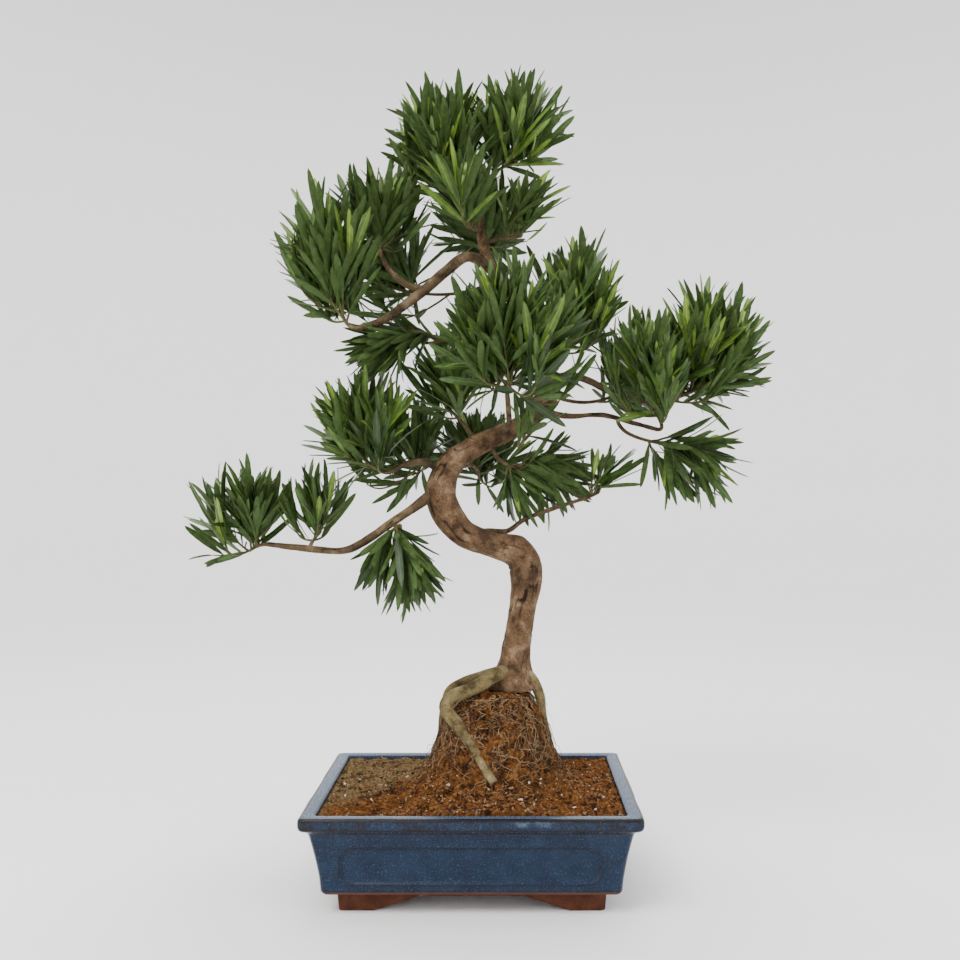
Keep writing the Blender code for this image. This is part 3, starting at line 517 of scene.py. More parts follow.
def plain_material(name, colour, roughness, spread=0.25):
    """Plain colour with small cloudy changes and a fine rough surface."""
    material, tree, shader = new_material(name, colour, roughness)
    low, high = shade(colour, 1 - spread), shade(colour, 1 + spread)
    cloudy = grain_ramp(tree, 4.0, [(0.3, low), (0.7, high)])
    tree.links.new(cloudy, shader.inputs["Base Color"])
    grain_bump(tree, shader, 0.6, 0.3, 0.2, detail=2.0)
    return material


# Pot

def rounded_rectangle_distance(across, up, half_across, half_up, corner):
    """Signed distance to a rounded rectangle's outline: below zero inside it."""
    x = np.abs(across) - (half_across - corner)
    y = np.abs(up) - (half_up - corner)
    return np.hypot(np.maximum(x, 0), np.maximum(y, 0)) + np.minimum(np.maximum(x, y), 0) - corner


def pot_columns():
    """Columns round the pot: straight share along X and Y, and the outward direction."""
    straight_x = np.linspace(-1, 1, 180)
    straight_y = np.linspace(-1, 1, 132)
    turn = np.radians(np.linspace(0, 90, 9))[1:-1]
    columns = []
    for side, share in ((270, straight_x), (0, straight_y), (90, -straight_x), (180, -straight_y)):
        way = (math.cos(math.radians(side)), math.sin(math.radians(side)))
        for s in share:
            columns.append((s if abs(way[1]) > 0.5 else way[0], s if abs(way[0]) > 0.5 else way[1], *way))
        corner = columns[-1][:2]
        for angle in turn + math.radians(side):
            columns.append((*corner, math.cos(angle), math.sin(angle)))
    return np.round(np.array(columns), 9)


def make_pot():
    """Glazed pot: its profile carried round a rounded rectangle, with a bevelled panel sunk into
    each side by the distance inside the panel's outline. Bells round lines and edges, cut off by
    noise, give the glaze its attributes `worn_and_shade`, `pale` and `bare`. `worn_and_shade` is broken
    glaze on the edges and lines, made darker as painted shade round each sunk panel's outline, and
    painted shade at the foot of its bevel; `pale` is painted light on the rim's flat top, and a paler
    patch on the lip's front."""
    columns = pot_columns()
    outer = smooth_route([(z, s, 0, 0) for z, s in POT_OUTER], PROFILE_STEP)[:, :2]
    top = smooth_route([(z, s, 0, 0) for z, s in RIM_TOP], PROFILE_STEP)[1:, :2]
    profile = np.vstack([POT_UNDER, outer, top, POT_INNER])
    outer_end = len(POT_UNDER) + len(outer)
    z = np.repeat(profile[:, 0][:, None], len(columns), axis=1)
    setback = profile[:, 1][:, None]
    share_x, share_y, way_x, way_y = columns.T
    x = share_x * (RIM_LENGTH / 2 - setback - RIM_CORNER) + way_x * RIM_CORNER
    y = share_y * (RIM_WIDTH / 2 - setback - RIM_CORNER) + way_y * RIM_CORNER

    on_long = np.abs(way_y) > 0.999
    on_short = np.abs(way_x) > 0.999
    along = np.where(on_long, x, y)
    half_panel = np.where(on_long, RIM_LENGTH, RIM_WIDTH) / 2 - PANEL_END_GAP
    middle_z = (PANEL_BOTTOM + PANEL_TOP) / 2
    distance = rounded_rectangle_distance(along, z - middle_z, half_panel,
                                          (PANEL_TOP - PANEL_BOTTOM) / 2, PANEL_CORNER)
    row = np.arange(len(profile))[:, None]
    outside = (row >= len(POT_UNDER)) & (row < outer_end)
    flat = outside & (on_long | on_short)
    sunk = eased(np.clip(-distance / PANEL_BEVEL, 0, 1)) * PANEL_DEPTH * flat
    lip = bell(distance, 0.4, 0.9) * 0.25 * flat
    x = x - way_x * (sunk - lip)
    y = y - way_y * (sunk - lip)
    points = np.stack([x, y, z], axis=-1)
    wobble = rough_noise(points, 22.0, 2, 5)[..., None] * 0.22 * outside[..., None]
    points = points + wobble * np.stack([way_x, way_y, 0 * way_x], axis=-1)

    # broken glaze on the panel's outline, made darker as painted shade of its sunk edge
    panel_outline_break_and_shade = bell(distance, 0.1, 0.6) * 0.75 * flat
    # painted shade: a dark line at the foot of the panel's bevel
    panel_floor_shade = bell(distance, -0.92 * PANEL_BEVEL, 0.5) * 0.3 * flat
    lip_front = np.clip((z - 61.3) / 1.2, 0, 1) * np.clip((69.2 - z) / 0.8, 0, 1) * outside
    lip_front = lip_front * (0.36 + 0.12 * noise(points, 9.0, 12))
    corner_line = np.where(on_long | on_short, 0.0, 1.0) * outside * 0.3 * (z < 60)
    rim_top = (row >= outer_end - 1) & (z > 67.5)
    inner_edge = bell(setback, 10.2, 0.5) * 0.5 * rim_top
    lines = [bell(z, level, width) * strength * outside for level, width, strength in WORN_LINES]
    worn_and_shade = np.max([panel_outline_break_and_shade, panel_floor_shade, *lines, lip_front, corner_line, inner_edge], axis=0)
    patch = bell(x, 40.0, 13.0, 4) * (y < -60) * bell(z, 66.6, 1.9, 4) * outside
    # painted light: the rim's flat top made pale, as if lit from above
    pale = np.where(rim_top & (setback > 2.4) & (setback < 9.6), 0.75, 0.0)
    pale = np.maximum(pale, patch * (0.55 + 0.6 * noise(points, 5.0, 8)))
    bare = np.where(outside & (z < 16.7) | (z <= POT_UNDERSIDE + 0.01), 1.0, 0.0)

    rows, count = len(profile), len(columns)
    middle = rows * count
    points = np.vstack([points.reshape(-1, 3), [(0, 0, POT_UNDERSIDE), (0, 0, POT_FLOOR)]])
    faces = [grid_faces(rows, count), fan_faces(0, count, middle, turned=True),
             fan_faces((rows - 1) * count, count, middle + 1)]
    values = {"worn_and_shade": np.append(worn_and_shade.ravel(), [0, 0]), "pale": np.append(pale.ravel(), [0, 0]),
              "bare": np.append(bare.ravel(), [1, 0])}
    pot = make_piece("glazed_pot", points, faces, [glaze_material()], values=values)
    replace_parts(pot, "pot")


# Soil and root ball

def ball_height(x, y):
    """Height of the soil at a place: the root ball's profile with its toe spread to the front."""
    away_x = x - BALL_CENTRE[0]
    away_y = y - BALL_CENTRE[1]
    away_y = np.where(away_y < 0, away_y / BALL_FRONT_STRETCH, away_y)
    distance = np.hypot(away_x, away_y)
    height = np.interp(distance, *zip(*BALL_PROFILE))
    lumps = 0.9 * np.sin(0.31 * x + 0.7) * np.sin(0.37 * y + 0.2) + 0.5 * np.sin(0.71 * x - 0.53 * y)
    return height + lumps * np.clip((distance - 20.0) / 15.0, 0, 1)


def soil_places(angle, share):
    """Place on the soil: a direction from the ball's middle, and how far out towards the pot's wall
    (0 to 1), with the steep side of the ball given more room."""
    ways = (np.cos(angle), np.sin(angle))
    wall = np.full(np.shape(angle), 1e6)
    for way, side, centre in zip(ways, (RIM_LENGTH, RIM_WIDTH), BALL_CENTRE):
        edge = np.copysign(side / 2 - SOIL_INSET, way) - centre
        wall = np.minimum(wall, np.where(np.abs(way) > 1e-6, edge / way, 1e6))
    stretch = np.where(ways[1] < 0, 1 / np.hypot(ways[0], ways[1] / BALL_FRONT_STRETCH), 1.0)
    shares = (0.0, 0.08, 0.16, 0.55, 0.68)
    reaches = (0.0, 16.0, 24.0, 44.0, BALL_SIDE)
    inner = np.interp(share, shares, reaches) * stretch
    outer_share = np.clip((share - shares[-1]) / (1 - shares[-1]), 0, 1)
    edge = np.minimum(BALL_SIDE * stretch, wall * 0.9)
    radius = np.where(share < shares[-1], inner * np.minimum(1.0, edge / (BALL_SIDE * stretch)),
                      edge + (wall - edge) * outer_share)
    return BALL_CENTRE[0] + ways[0] * radius, BALL_CENTRE[1] + ways[1] * radius


def make_soil():
    """Soil surface: heights on spokes and rings round the ball's middle, roughened by noise."""
    angle, share = np.meshgrid(np.linspace(0, 2 * math.pi, 380, endpoint=False), np.linspace(0, 1, 130))
    x, y = soil_places(angle, share)
    z = ball_height(x, y)
    points = np.stack([x, y, z], axis=-1)
    grain = 0.9 * noise(points, 3.4, 1) + 0.7 * noise(points, 1.7, 2) + 0.5 * noise(points, 7.0, 3)
    steep = np.clip((z - 72) / 20, 0, 1)
    keep = np.clip((1 - share) / 0.01, 0, 1)
    z = z + grain * (0.8 + 0.5 * steep) * keep
    outward = np.stack([np.cos(angle), np.sin(angle)], axis=-1) * (grain * steep * 1.1 * keep)[..., None]
    points = np.stack([x + outward[..., 0], y + outward[..., 1], z], axis=-1)
    rows, count = angle.shape
    wall = points[-1].copy()
    wall[:, 2] = SOIL_LEVEL - SOIL_DEPTH
    skin = np.concatenate([points.reshape(-1, 3), wall, [(*BALL_CENTRE, SOIL_LEVEL - SOIL_DEPTH)]])
    faces = [grid_faces(rows + 1, count)[:, ::-1],
             fan_faces(rows * count, count, (rows + 1) * count)[:, ::-1]]
    # painted shade: the soil's dips, and its hidden side wall, are marked for darkening
    hollow_shade = np.clip(0.5 - 0.6 * grain, 0, 1)
    values = {"hollow_shade": np.append(hollow_shade.ravel(), np.ones(count + 1))}
    soil = make_piece("soil_surface", skin, faces, [soil_material()],
                      values=values)
    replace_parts(soil, "soil")


def soil_material():
    """Moist bark and coco crumbs: red-brown, with a paler greenish corner at the left back, and painted
    shade, near black, in the dips that `hollow_shade` marks.
    """
    material, tree, shader = new_material("bark_soil", (0.1, 0.045, 0.017), 0.95, specular=0.05)
    colour = grain_ramp(tree, 2.4, [(0.3, (0.028, 0.010, 0.004)), (0.5, (0.10, 0.038, 0.010)),
                                    (0.7, (0.2, 0.088, 0.024))])
    pale = grain_ramp(tree, 2.0, [(0.35, (0.05, 0.035, 0.015)), (0.65, (0.17, 0.125, 0.06))])
    split = tree.nodes.new("ShaderNodeSeparateXYZ")
    tree.links.new(place_node(tree), split.inputs[0])
    zone = math_node(tree, "SUBTRACT", scaled(tree, split.outputs[1], 12.0),
                     scaled(tree, split.outputs[0], 14.0))
    zone = math_node(tree, "ADD", zone, scaled(tree, noise_node(tree, 16.0), 1.2))
    zone = ramp_node(tree, math_node(tree, "SUBTRACT", zone, 0.9), [(0.25, 0.0), (0.75, 1.0)])
    colour = mix_node(tree, scaled(tree, zone, 0.8), colour, pale)
    # painted shade: near black in the dips
    hollow_shade = ramp_node(tree, value_node(tree, "hollow_shade"), [(0.45, 0.0), (0.95, 1.0)])
    colour = mix_node(tree, scaled(tree, hollow_shade, 0.85), colour, (0.012, 0.006, 0.003))
    tree.links.new(colour, shader.inputs["Base Color"])
    grain_bump(tree, shader, 0.9, 0.8, 0.8, rough=0.7)
    return material


def dealt_kinds(kinds, count, draw):
    """A material for each kind, and for each of `count` things a kind drawn by the kinds' shares."""
    materials = [plain_material(name, colour, roughness) for name, colour, roughness, _ in kinds]
    return materials, draw.choice(len(kinds), count, p=[share for *_, share in kinds])


def make_crumbs():
    """Loose crumbs on the soil: eight-faced lumps, each stretched and turned by seeded draws."""
    draw = np.random.RandomState(11)
    count = 9000
    angle = draw.uniform(0, 2 * math.pi, count)
    on_ball = count // 3
    share = np.append(draw.uniform(0.14, 0.66, on_ball), draw.uniform(0.6, 0.995, count - on_ball))
    x, y = soil_places(angle, share)
    middle = np.stack([x, y, ball_height(x, y)], axis=-1)
    size = 0.45 + 1.1 * draw.uniform(0, 1, count) ** 3
    stretch = np.stack([size * draw.uniform(0.7, 1.9, count), size * draw.uniform(0.6, 1.1, count),
                        size * draw.uniform(0.4, 0.9, count)], axis=-1)
    first = unit(draw.normal(size=(count, 3)) * (1, 1, 0.5))
    second = unit(np.cross(first, draw.normal(size=(count, 3))))
    third = np.cross(first, second)
    corners = np.array([(1, 0, 0), (-1, 0, 0), (0, 1, 0), (0, -1, 0), (0, 0, 1), (0, 0, -1)], float)
    shape = corners[None] * stretch[:, None] * draw.uniform(0.75, 1.2, (count, 6, 1))
    points = middle[:, None] + (shape[..., :1] * first[:, None] + shape[..., 1:2] * second[:, None]
                                + shape[..., 2:] * third[:, None])
    faces = np.array([(0, 2, 4), (2, 1, 4), (1, 3, 4), (3, 0, 4),
                      (2, 0, 5), (1, 2, 5), (3, 1, 5), (0, 3, 5)])
    materials, kind = dealt_kinds(CRUMB_KINDS, count, draw)
    make_piece("soil_crumbs", points, [copied_faces(faces, len(corners), count)], materials,
               face_material=np.repeat(kind, len(faces)), smooth=False)


def strand_tubes(paths, radii, sides):
    """Thin tubes along many paths at once: paths (strands, points, 3), radii (strands, points)."""
    ways = unit(np.gradient(paths, axis=1))
    lean = np.where(np.abs(ways[..., 2:3]) < 0.8, np.array([0.0, 0, 1]), np.array([1.0, 0, 0]))
    across = unit(np.cross(ways, lean))
    up = np.cross(ways, across)
    angle = np.arange(sides) * 2 * math.pi / sides
    ring = (across[:, :, None] * np.cos(angle)[None, None, :, None]
            + up[:, :, None] * np.sin(angle)[None, None, :, None])
    points = paths[:, :, None] + ring * radii[:, :, None, None]
    strands, steps = paths.shape[:2]
    ring = np.arange(sides)[None]
    faces = [grid_faces(steps, sides), ring[:, ::-1], (steps - 1) * sides + ring]
    return points.reshape(-1, 3), [copied_faces(group, steps * sides, strands) for group in faces]


def make_fibres():
    """Fine roots: seeded walks that run down the root ball and out over the soil, some standing free."""
    draw = np.random.RandomState(23)
    count, steps, sides = 520, 26, 3
    angle = draw.uniform(0, 2 * math.pi, count)
    reach = draw.uniform(19.0, 40.0, count)
    length = draw.uniform(10.0, 62.0, count) * np.where(draw.uniform(0, 1, count) < 0.25, 1.5, 1.0)
    turn = np.cumsum(draw.normal(0, 0.10, (count, steps)), axis=1) * 0.55
    along = np.linspace(0, 1, steps)[None]
    bearing = angle[:, None] + turn + draw.normal(0, 0.35, (count, 1)) * along
    out = reach[:, None] + length[:, None] * along * draw.uniform(0.12, 0.5, (count, 1))
    x = BALL_CENTRE[0] + np.cos(bearing) * out
    y = BALL_CENTRE[1] + np.sin(bearing) * out * np.where(np.sin(bearing) < 0, BALL_FRONT_STRETCH, 1.0)
    wall_gap = 14
    x = np.clip(x, -RIM_LENGTH / 2 + wall_gap, RIM_LENGTH / 2 - wall_gap)
    y = np.clip(y, -RIM_WIDTH / 2 + wall_gap, RIM_WIDTH / 2 - wall_gap)
    lift = np.abs(np.cumsum(draw.normal(0, 0.55, (count, steps)), axis=1))
    lift = 0.5 + lift * draw.uniform(0, 1, (count, 1)) ** 2
    paths = np.stack([x + np.cos(bearing) * lift, y + np.sin(bearing) * lift,
                      ball_height(x, y) + 0.35 * lift], axis=-1)
    radii = draw.uniform(0.16, 0.55, (count, 1)) * (1.0 - 0.7 * along)
    points, faces = strand_tubes(paths, radii, sides)
    materials, kind = dealt_kinds(FIBRE_KINDS, count, draw)
    face_material = np.concatenate([np.repeat(kind, len(group) // count) for group in faces])
    make_piece("fine_roots", points, faces, materials, face_material=face_material)


# Limbs with bark

def bark_skin(route, step, sides, relief, seed, flare=False, knots=()):
    """Skin of a limb: rings round its smooth route, raised and lowered by noise that is stretched
    along the limb, widened in lobes at a flared foot, and raised in a bell shape at each knot."""
    path = smooth_route(route, step)
    centres = path[:, :3]
    _, across, up = ring_frames(centres, smoothing=max(2, int(6.0 / step)))
    angle = np.arange(sides) * 2 * math.pi / sides
    ring = across[:, None] * np.cos(angle)[None, :, None] + up[:, None] * np.sin(angle)[None, :, None]
    run = np.concatenate([[0], np.cumsum(np.linalg.norm(np.diff(centres, axis=0), axis=1))])
    radius = np.repeat(path[:, 3][:, None], sides, axis=1)
    if flare:
        height = centres[:, 2] - TRUNK_FOOT
        bearing = np.arctan2(ring[..., 1], ring[..., 0])
        lobes = sum(np.exp(3.0 * (np.cos(bearing - math.radians(way)) - 1)) for way in FLARE_TOWARDS)
        radius = radius * (1 + FLARE_GAIN * bell(height, 0, FLARE_HEIGHT)[:, None] * (lobes - 0.5))
    spot = np.stack([np.cos(angle)[None] * radius, np.sin(angle)[None] * radius,
                     np.repeat(run[:, None] * 0.28, sides, axis=1)], axis=-1)
    streaks = noise(spot, 2.6, seed) + 0.6 * noise(spot, 1.3, seed + 1)
    lumps = rough_noise(spot * (1, 1, 2.2), 11.0, 2, seed + 5)
    cracks = np.clip(1.0 - np.abs(noise(spot, 3.4, seed + 9)) * 5.0, 0, 1)
    cracks = cracks * np.clip(0.5 + noise(spot * (1, 1, 2), 9.0, seed + 12), 0, 1)
    shift = relief * (0.35 * streaks + 1.0 * lumps - 0.9 * cracks)
    points = centres[:, None] + ring * (radius + shift)[..., None]
    for height, bearing, size, rise in knots:
        nearest = int(np.argmin(np.abs(centres[:, 2] - height)))
        way = math.radians(bearing)
        offset = across[nearest] * math.cos(way) + up[nearest] * math.sin(way)
        centre = centres[nearest] + offset * path[nearest, 3]
        away = np.linalg.norm(points - centre, axis=-1)
        points = points + ring * (rise * bell(away, 0, size))[..., None]
    # painted shade: marks the relief's cracks and low streaks for darkening
    hollow_shade = np.clip(0.55 * cracks + 0.25 - 0.22 * streaks, 0, 1)
    if flare:
        points[0, :, 2] = TRUNK_FOOT
    return points, hollow_shade


def skin_piece(name, skins, material):
    """One piece of several limb skins, each closed at both ends by a point."""
    points, quads, caps, hollow_shades = [], [], [], []
    first = 0
    for skin, hollow_shade in skins:
        rings, sides = hollow_shade.shape
        points += [skin.reshape(-1, 3), skin[[0, -1]].mean(axis=1)]
        hollow_shades.append(np.append(hollow_shade.ravel(), [0.5, 0.5]))
        quads.append(grid_faces(rings, sides, first))
        end = first + rings * sides
        caps += [fan_faces(first, sides, end, turned=True), fan_faces(end - sides, sides, end + 1)]
        first = end + 2
    return make_piece(name, np.vstack(points), [np.vstack(quads), np.vstack(caps)], [material],
                      values={"hollow_shade": np.concatenate(hollow_shades)})


def make_limbs():
    """Trunk, boughs and surface roots with bark relief; returns the boughs' bark."""
    trunk_bark = bark_material("trunk_bark", (0.038, 0.022, 0.011), (0.098, 0.056, 0.028),
                               (0.19, 0.125, 0.072), 3.0)
    bough_bark = bark_material("bough_bark", (0.03, 0.02, 0.01), (0.075, 0.05, 0.025),
                               (0.15, 0.105, 0.06), 2.0)
    root_bark = bark_material("root_bark", (0.05, 0.036, 0.015), (0.14, 0.105, 0.045),
                              (0.22, 0.175, 0.09), 2.5)
    skins = [bark_skin(TRUNK, 1.0, 84, 0.75, 3, flare=True, knots=TRUNK_KNOTS)]
    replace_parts(skin_piece("trunk_skin", skins, trunk_bark), "trunk")
    skins = [bark_skin(route, 1.4, 22, 0.28, 20 + 3 * k) for k, route in enumerate(BOUGHS.values())]
    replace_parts(skin_piece("bough_skins", skins, bough_bark), *BOUGHS)
    skins = [bark_skin(route, 1.0, 32, 0.5, 60 + 3 * k) for k, route in enumerate(ROOTS.values())]
    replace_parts(skin_piece("root_skins", skins, root_bark), *ROOTS)
    return bough_bark


# Foliage

def cell_value(points, name):
    """How far points lie out from the middle of a mass's space: 1 on its skin."""
    _, _, middle, half, _, _ = MASSES[name]
    return np.linalg.norm((points - np.asarray(middle, float)) / np.asarray(half, float), axis=-1)


def keeps_to_cell(points, name):
    """True where all points lie in the mass's own space and nearer to it than to any other."""
    own = cell_value(points, name)
    if own.max() > 1.02:
        return False
    return all((cell_value(points, other) - own).min() > 0.03 for other in MASSES if other != name)


def limb_gap(points, limbs):
    """Least gap between each point and the limbs' skins: the distance to their middle points,
    less the radius there."""
    away = np.linalg.norm(points[:, None] - limbs[None, :, :3], axis=2)
    return (away - limbs[None, :, 3]).min(axis=1)


def bend_curve(start, bend, end, count):
    """Points on the curve that leaves `start` towards `bend` and arrives at `end` from it."""
    t = np.linspace(0.0, 1.0, count)[:, None]
    return (1 - t) ** 2 * start + 2 * t * (1 - t) * bend + t * t * end


def tapered(curve, thick, thin):
    """A curve's points, each with the radius of an even taper along it."""
    return np.column_stack([curve, np.linspace(thick, thin, len(curve))])


def stem_path(name, paths):
    """Stem of a mass, rooted just inside its carrier's bark: it leaves a limb's tip along the
    limb, or a limb's side square to it, and ends in the heart of the mass's space."""
    carrier, height, middle, half, lean, _ = MASSES[name]
    path = paths[carrier]
    middle, half, lean = (np.asarray(v, float) for v in (middle, half, unit(lean)))
    heart = middle - 0.5 * half * lean
    if height == 0:
        tangent = unit(path[-1, :3] - path[-2, :3])
        start = path[-1, :3] - tangent * 1.5
    else:
        if height == 1:
            place = int(np.argmin(np.linalg.norm(path[:, :3] - heart, axis=1)))
            place = min(place, len(path) - 4)
        else:
            place = int(np.argmin(np.abs(path[:, 2] - height)))
        along = unit(path[place + 1, :3] - path[place - 1, :3])
        tangent = heart - path[place, :3]
        tangent = unit(tangent - along * np.dot(tangent, along))
        start = path[place, :3] + tangent * (path[place, 3] - 1.0)
    bend = start + tangent * 0.5 * np.linalg.norm(heart - start)
    return tapered(bend_curve(start, bend, heart, STEM_POINTS), STEM_RADIUS, TWIG_RADIUS * 1.1)


def shoot_paths(name, stem, limbs):
    """Shoots of a mass. The first follow the solids' rule: turned by the golden angle in a cone
    about its lean, they leave the stem, curve up to the space's skin and end a leaf short of it.
    More follow at seeded places in two tiers, till there are SHOOT_GAIN times as many."""
    _, _, middle, half, lean, wanted = MASSES[name]
    middle, half, lean = (np.asarray(v, float) for v in (middle, half, unit(lean)))
    draw = np.random.RandomState(sum(ord(letter) for letter in name))
    first = draw.uniform(0, 2 * math.pi)
    upright = lean[2] >= 0
    side = unit(np.cross(lean, (0.3, 1.0, 0.2)))
    other = np.cross(lean, side)
    shoots = []
    in_all = round(wanted * SHOOT_GAIN)
    for attempt in range(in_all * 3):
        if len(shoots) == in_all:
            break
        order = attempt if attempt < wanted else draw.uniform(0, wanted)
        tilt = SHOOT_TILT * math.sqrt((order + 0.15) / wanted)
        turn = first + GOLDEN_ANGLE * attempt
        way = lean * math.cos(tilt) + (side * math.cos(turn) + other * math.sin(turn)) * math.sin(tilt)
        if attempt >= wanted and upright:
            away = math.sqrt(draw.uniform(0.04, 1.0))
            level = math.sqrt(1.0 - 0.8 * away ** 2) * draw.uniform(0.55, 1.08)
            if draw.uniform() < LOW_TIER_SHARE:
                level = draw.uniform(-0.4, 0.35)
            way = np.array([away * math.cos(turn), away * math.sin(turn), level])
        elif attempt >= wanted:
            way = way * draw.uniform(0.5, 1.0)
        target = middle + half * way
        share = 1.0 - 0.55 * min(order, wanted - 0.5) / wanted
        place = share * (len(stem) - 1)
        low = int(min(math.floor(place), len(stem) - 2))
        base = stem[low, :3] + (stem[low + 1, :3] - stem[low, :3]) * (place - low)
        rise = unit(way * (0.4, 0.4, 0.0) + (0, 0, 1.0) if upright else 0.9 * way - (0, 0, 0.35))
        end = target - rise * LEAF_REACH
        if np.dot(end - base, rise) < 10.0:
            end = base + rise * 12.0
        length = np.linalg.norm(end - base)
        curve = bend_curve(base, end - rise * 0.55 * length, end, SHOOT_POINTS)
        if keeps_to_cell(curve[3:], name) and limb_gap(curve[2:], limbs).min() >= TWIG_RADIUS:
            shoots.append(tapered(curve, TWIG_RADIUS * 0.95, TWIG_RADIUS * 0.55))
    return shoots


def side_twig_paths(name, shoots, limbs, draw):
    """One side twig for each shoot: it turns off the shoot in a seeded direction, rises a little,
    and is left out where it would leave the mass's space or touch a limb."""
    side_twigs = []
    for shoot in shoots:
        place = draw.randint(3, 7)
        base = shoot[place, :3]
        way = unit(unit(shoot[place + 1, :3] - base) + 0.9 * unit(draw.normal(size=3)))
        length = draw.uniform(10, 24)
        end = base + way * length + np.array([0, 0, 0.15 * length])
        curve = bend_curve(base, base + way * 0.5 * length, end, SHOOT_POINTS)
        if cell_value(curve[-1], name) < 0.8 and limb_gap(curve[3:], limbs).min() > 2.0:
            side_twigs.append(tapered(curve, 0.6, 0.45))
    return side_twigs


def shoot_leaves(shoot, draw, hanging):
    """Leaves of one shoot: roots on a spiral of the golden angle round it, opening from nearly
    along the shoot at its tip to well out at its base. Returns a row of numbers for each leaf."""
    curve = shoot[:, :3]
    length = np.linalg.norm(np.diff(curve, axis=0), axis=1).sum()
    count = int(np.clip(length * 0.3 + 9, 14, 26))
    tangents, across, up = ring_frames(curve)
    share = (np.arange(count) + 0.5) / count
    leafy = min(0.88, 64.0 / length)
    place = (1 - leafy * (1 - share) ** 1.1) * (len(curve) - 1)
    low = np.clip(np.floor(place).astype(int), 0, len(curve) - 2)
    part = (place - low)[:, None]
    root = curve[low] * (1 - part) + curve[low + 1] * part
    turn = draw.uniform(0, 6.28) + GOLDEN_ANGLE * np.arange(count)
    turn = turn + draw.normal(0, 0.15, count)
    outward = across[low] * np.cos(turn)[:, None] + up[low] * np.sin(turn)[:, None]
    opening = np.radians(50.0 - 37.0 * share ** 0.8 + draw.normal(0, 8.0, count))
    way = tangents[low] * np.cos(opening)[:, None] + outward * np.sin(opening)[:, None]
    down, up_lift = draw.uniform(-0.5, -0.1, count), draw.uniform(0.0, 0.45, count)
    way[:, 2] += down if hanging else up_lift
    way = unit(way)
    face = tangents[low] * np.sin(opening)[:, None] - outward * np.cos(opening)[:, None]
    face = unit(face - way * np.sum(face * way, axis=1)[:, None])
    roll = draw.normal(0, 0.22, count)[:, None]
    face = unit(face * np.cos(roll) + np.cross(way, face) * np.sin(roll))
    size = LEAF_LENGTH * (0.78 + 0.3 * np.sin(math.pi * np.clip(share * 1.05, 0, 1)))
    size = size * draw.uniform(0.86, 1.12, count)
    size = size * np.where(share > 0.86, 0.62, 1.0)
    young = share > 0.8
    return np.column_stack([root, way, face, size, draw.uniform(0.85, 1.15, count), young,
                            draw.uniform(0.02, 0.16, count)])


def leaf_meshes(leaves):
    """Leaf blades: along each leaf the half width follows the outline, the blade folds slightly
    down at the midrib and its tip bends away from the upper face; top and underside are closed
    at the margins. Corners of one station: left margin, midrib top, right margin, midrib under."""
    root, way, face = leaves[:, ROOT], leaves[:, WAY], leaves[:, FACE]
    length, droop = leaves[:, LENGTH, None], leaves[:, DROOP, None]
    width = LEAF_WIDTH * leaves[:, WIDTH, None] * (0.55 + 0.45 * length / LEAF_LENGTH)
    edge = np.cross(way, face)
    s = LEAF_STATIONS[None, 1:-1]
    half = width / 2 * LEAF_OUTLINE[None, 1:-1]
    spine = (root[:, None] + way[:, None] * (length * s)[..., None]
             - face[:, None] * (length * droop * s ** 2)[..., None])
    tip = root + way * length - face * (length * droop)
    rise = face[:, None] * (0.22 * half)[..., None]
    left = spine + edge[:, None] * half[..., None] + rise
    right = spine - edge[:, None] * half[..., None] + rise
    under = spine - face[:, None] * 0.32
    body = np.stack([left, spine, right, under], axis=2)
    count, stations = body.shape[:2]
    points = np.concatenate([root[:, None], body.reshape(count, -1, 3), tip[:, None]], axis=1)
    per = points.shape[1]
    blade = grid_faces(stations, 4, first=1)
    ends = np.vstack([fan_faces(1, 4, 0, turned=True), fan_faces(per - 5, 4, per - 1)])
    faces = [copied_faces(group, per, count) for group in (blade, ends)]
    is_under = np.concatenate([np.tile(np.arange(4) >= 2, len(group) // 4) for group in faces])
    across = np.concatenate([[0.0], np.tile([1.0, 0.0, 1.0, 0.5], stations), [0.0]])
    margin = np.concatenate([[True], np.tile([True, False, True, False], stations), [True]])
    return points.reshape(-1, 3), faces, is_under, np.tile(across, count), np.tile(margin, count)


def spray_tones(leaves, shoot, hanging, draw):
    """Tone of each leaf of one shoot, partly painted light: paler for a higher shoot, as if lit from
    above, darker for a hanging one, as painted shade, with a seeded change, and young leaves a
    tone or more paler than the rest."""
    height = (shoot[-1, 2] - 240) / 350
    # painted light: a higher shoot gets a paler tone, a hanging one a darker tone as painted shade
    tone = 0.75 + 1.1 * height - 0.8 * hanging + draw.normal(0, 0.55)
    tone = int(np.clip(round(tone), 0, YOUNG_TONE - 1))
    young_tone = YOUNG_TONE if tone and draw.uniform() < 0.7 else tone + 1
    return np.where(leaves[:, YOUNG] > 0.5, young_tone, tone)


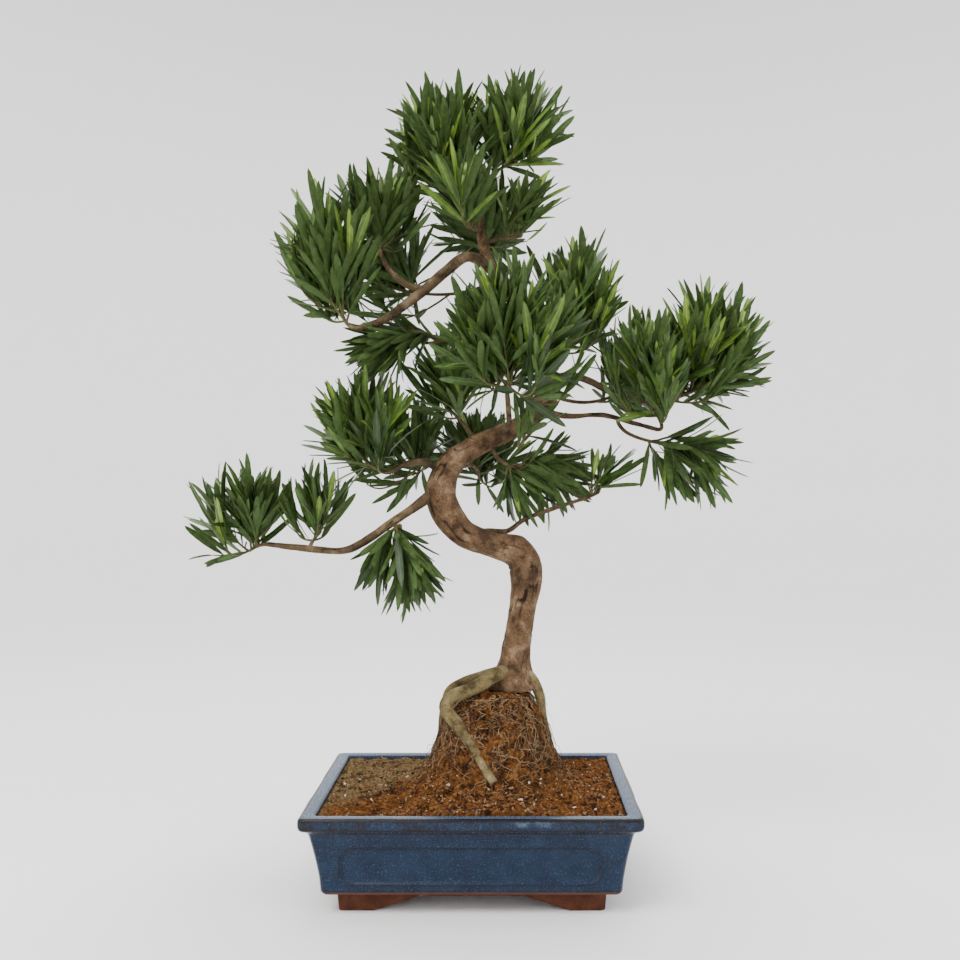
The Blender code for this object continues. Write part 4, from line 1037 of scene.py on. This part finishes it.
def make_foliage(bough_bark):
    """Every mass: its stem, shoots, side twigs and leaves, joined by kind and by tone. A leaf that
    would touch a limb or stand out of its mass's space is left out."""
    paths = {"trunk": smooth_route(TRUNK, 10.0)}
    for name, route in {**ROOTS, **BOUGHS}.items():
        paths[name] = smooth_route(route, 11.0)
    limbs = np.vstack([smooth_route(path, 3.0) for path in paths.values()])
    stems, twigs, leaves, tones = [], [], [], []
    draw = np.random.RandomState(5)
    for name in MASSES:
        stems.append(stem_path(name, paths))
        hanging = MASSES[name][4][2] < 0
        shoots = shoot_paths(name, stems[-1], limbs)
        for shoot in shoots + side_twig_paths(name, shoots, limbs, draw):
            rows = shoot_leaves(shoot, draw, hanging)
            blade = rows[:, WAY] * rows[:, LENGTH, None]
            tip = rows[:, ROOT] + blade
            middle = rows[:, ROOT] + blade * 0.5
            clear = (limb_gap(tip, limbs) > 0.5) & (limb_gap(middle, limbs) > 1.0)
            rows = rows[clear & (cell_value(tip, name) < 1.16)]
            twigs.append(shoot)
            leaves.append(rows)
            tones.append(spray_tones(rows, shoot, hanging, draw))
    leaves = np.vstack(leaves)
    tones = np.concatenate(tones)
    under = plain_material("leaf_under", (0.045, 0.078, 0.02), 0.6, 0.2)
    sprays = []
    for index, (label, colour) in enumerate(LEAF_TONES.items()):
        points, faces, is_under, across, margin = leaf_meshes(leaves[tones == index])
        sprays.append(make_piece(label + "_sprays", points, faces, [leaf_material(label, colour), under],
                                 face_material=is_under.astype(int),
                                 values={"across": across}, sharp=margin))
    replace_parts(sprays[1], *MASSES)
    stems, twigs = np.array(stems), np.array(twigs)
    points, faces = strand_tubes(stems[..., :3], stems[..., 3], 7)
    make_piece("mass_stems", points, faces, [bough_bark],
               values={"hollow_shade": np.zeros(len(points))})
    points, faces = strand_tubes(twigs[..., :3], twigs[..., 3], 5)
    twig_bark = plain_material("twig_green_bark", (0.075, 0.075, 0.025), 0.6)
    make_piece("green_twigs", points, faces, [twig_bark])


# Studio

def make_studio():
    """Pale floor that rises into a pale wall all round, soft lights and the camera."""
    scene = bpy.context.scene
    radius, height = np.array(STUDIO_PROFILE).T[..., None]
    angle = np.linspace(0, 2 * math.pi, STUDIO_COLUMNS, endpoint=False)
    points = np.stack([radius * np.cos(angle), radius * np.sin(angle),
                       np.repeat(height, STUDIO_COLUMNS, axis=1)], axis=-1).reshape(-1, 3)
    faces = grid_faces(len(radius), STUDIO_COLUMNS)[:, ::-1]
    middle = fan_faces(0, STUDIO_COLUMNS, len(points))
    mesh = bpy.data.meshes.new("studio_floor")
    mesh.from_pydata([*points.tolist(), (0, 0, 0)], [], faces.tolist() + middle.tolist())
    mesh.shade_smooth()
    mesh.materials.append(new_material("pale_floor", (0.88, 0.88, 0.88), 0.9)[0])
    floor = bpy.data.objects.new("studio_floor", mesh)
    scene.collection.objects.link(floor)

    scene.world = bpy.data.worlds.new("studio_air")
    scene.world.use_nodes = True
    air = scene.world.node_tree.nodes["Background"]
    air.inputs["Color"].default_value = (1.0, 1.0, 1.0, 1.0)
    air.inputs["Strength"].default_value = AIR_STRENGTH

    for name, place, size, power, colour in LIGHTS:
        light = bpy.data.lights.new(name, "AREA")
        light.shape = "DISK"
        light.size = size
        light.energy = power
        light.color = colour
        item = bpy.data.objects.new(name, light)
        item.location = place
        aim = np.array(LIGHTS_AIM) - place
        item.rotation_euler = (math.atan2(math.hypot(aim[0], aim[1]), -aim[2]), 0.0,
                               math.atan2(aim[1], aim[0]) - math.pi / 2)
        scene.collection.objects.link(item)

    camera = bpy.data.cameras.new("camera")
    camera.lens = CAMERA_LENS
    camera.sensor_width = 36.0
    camera.shift_x, camera.shift_y = CAMERA_SHIFT
    camera.clip_start = 0.02
    item = bpy.data.objects.new("camera", camera)
    item.location = CAMERA_PLACE
    item.rotation_euler = (math.pi / 2, 0.0, 0.0)
    scene.collection.objects.link(item)
    scene.camera = item


def main():
    """Every piece, then the studio."""
    make_pot()
    base_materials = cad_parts["pot_base"].data.materials
    base_materials.clear()
    base_materials.append(terracotta_material())
    make_soil()
    make_crumbs()
    make_fibres()
    make_foliage(make_limbs())
    make_studio()


main()
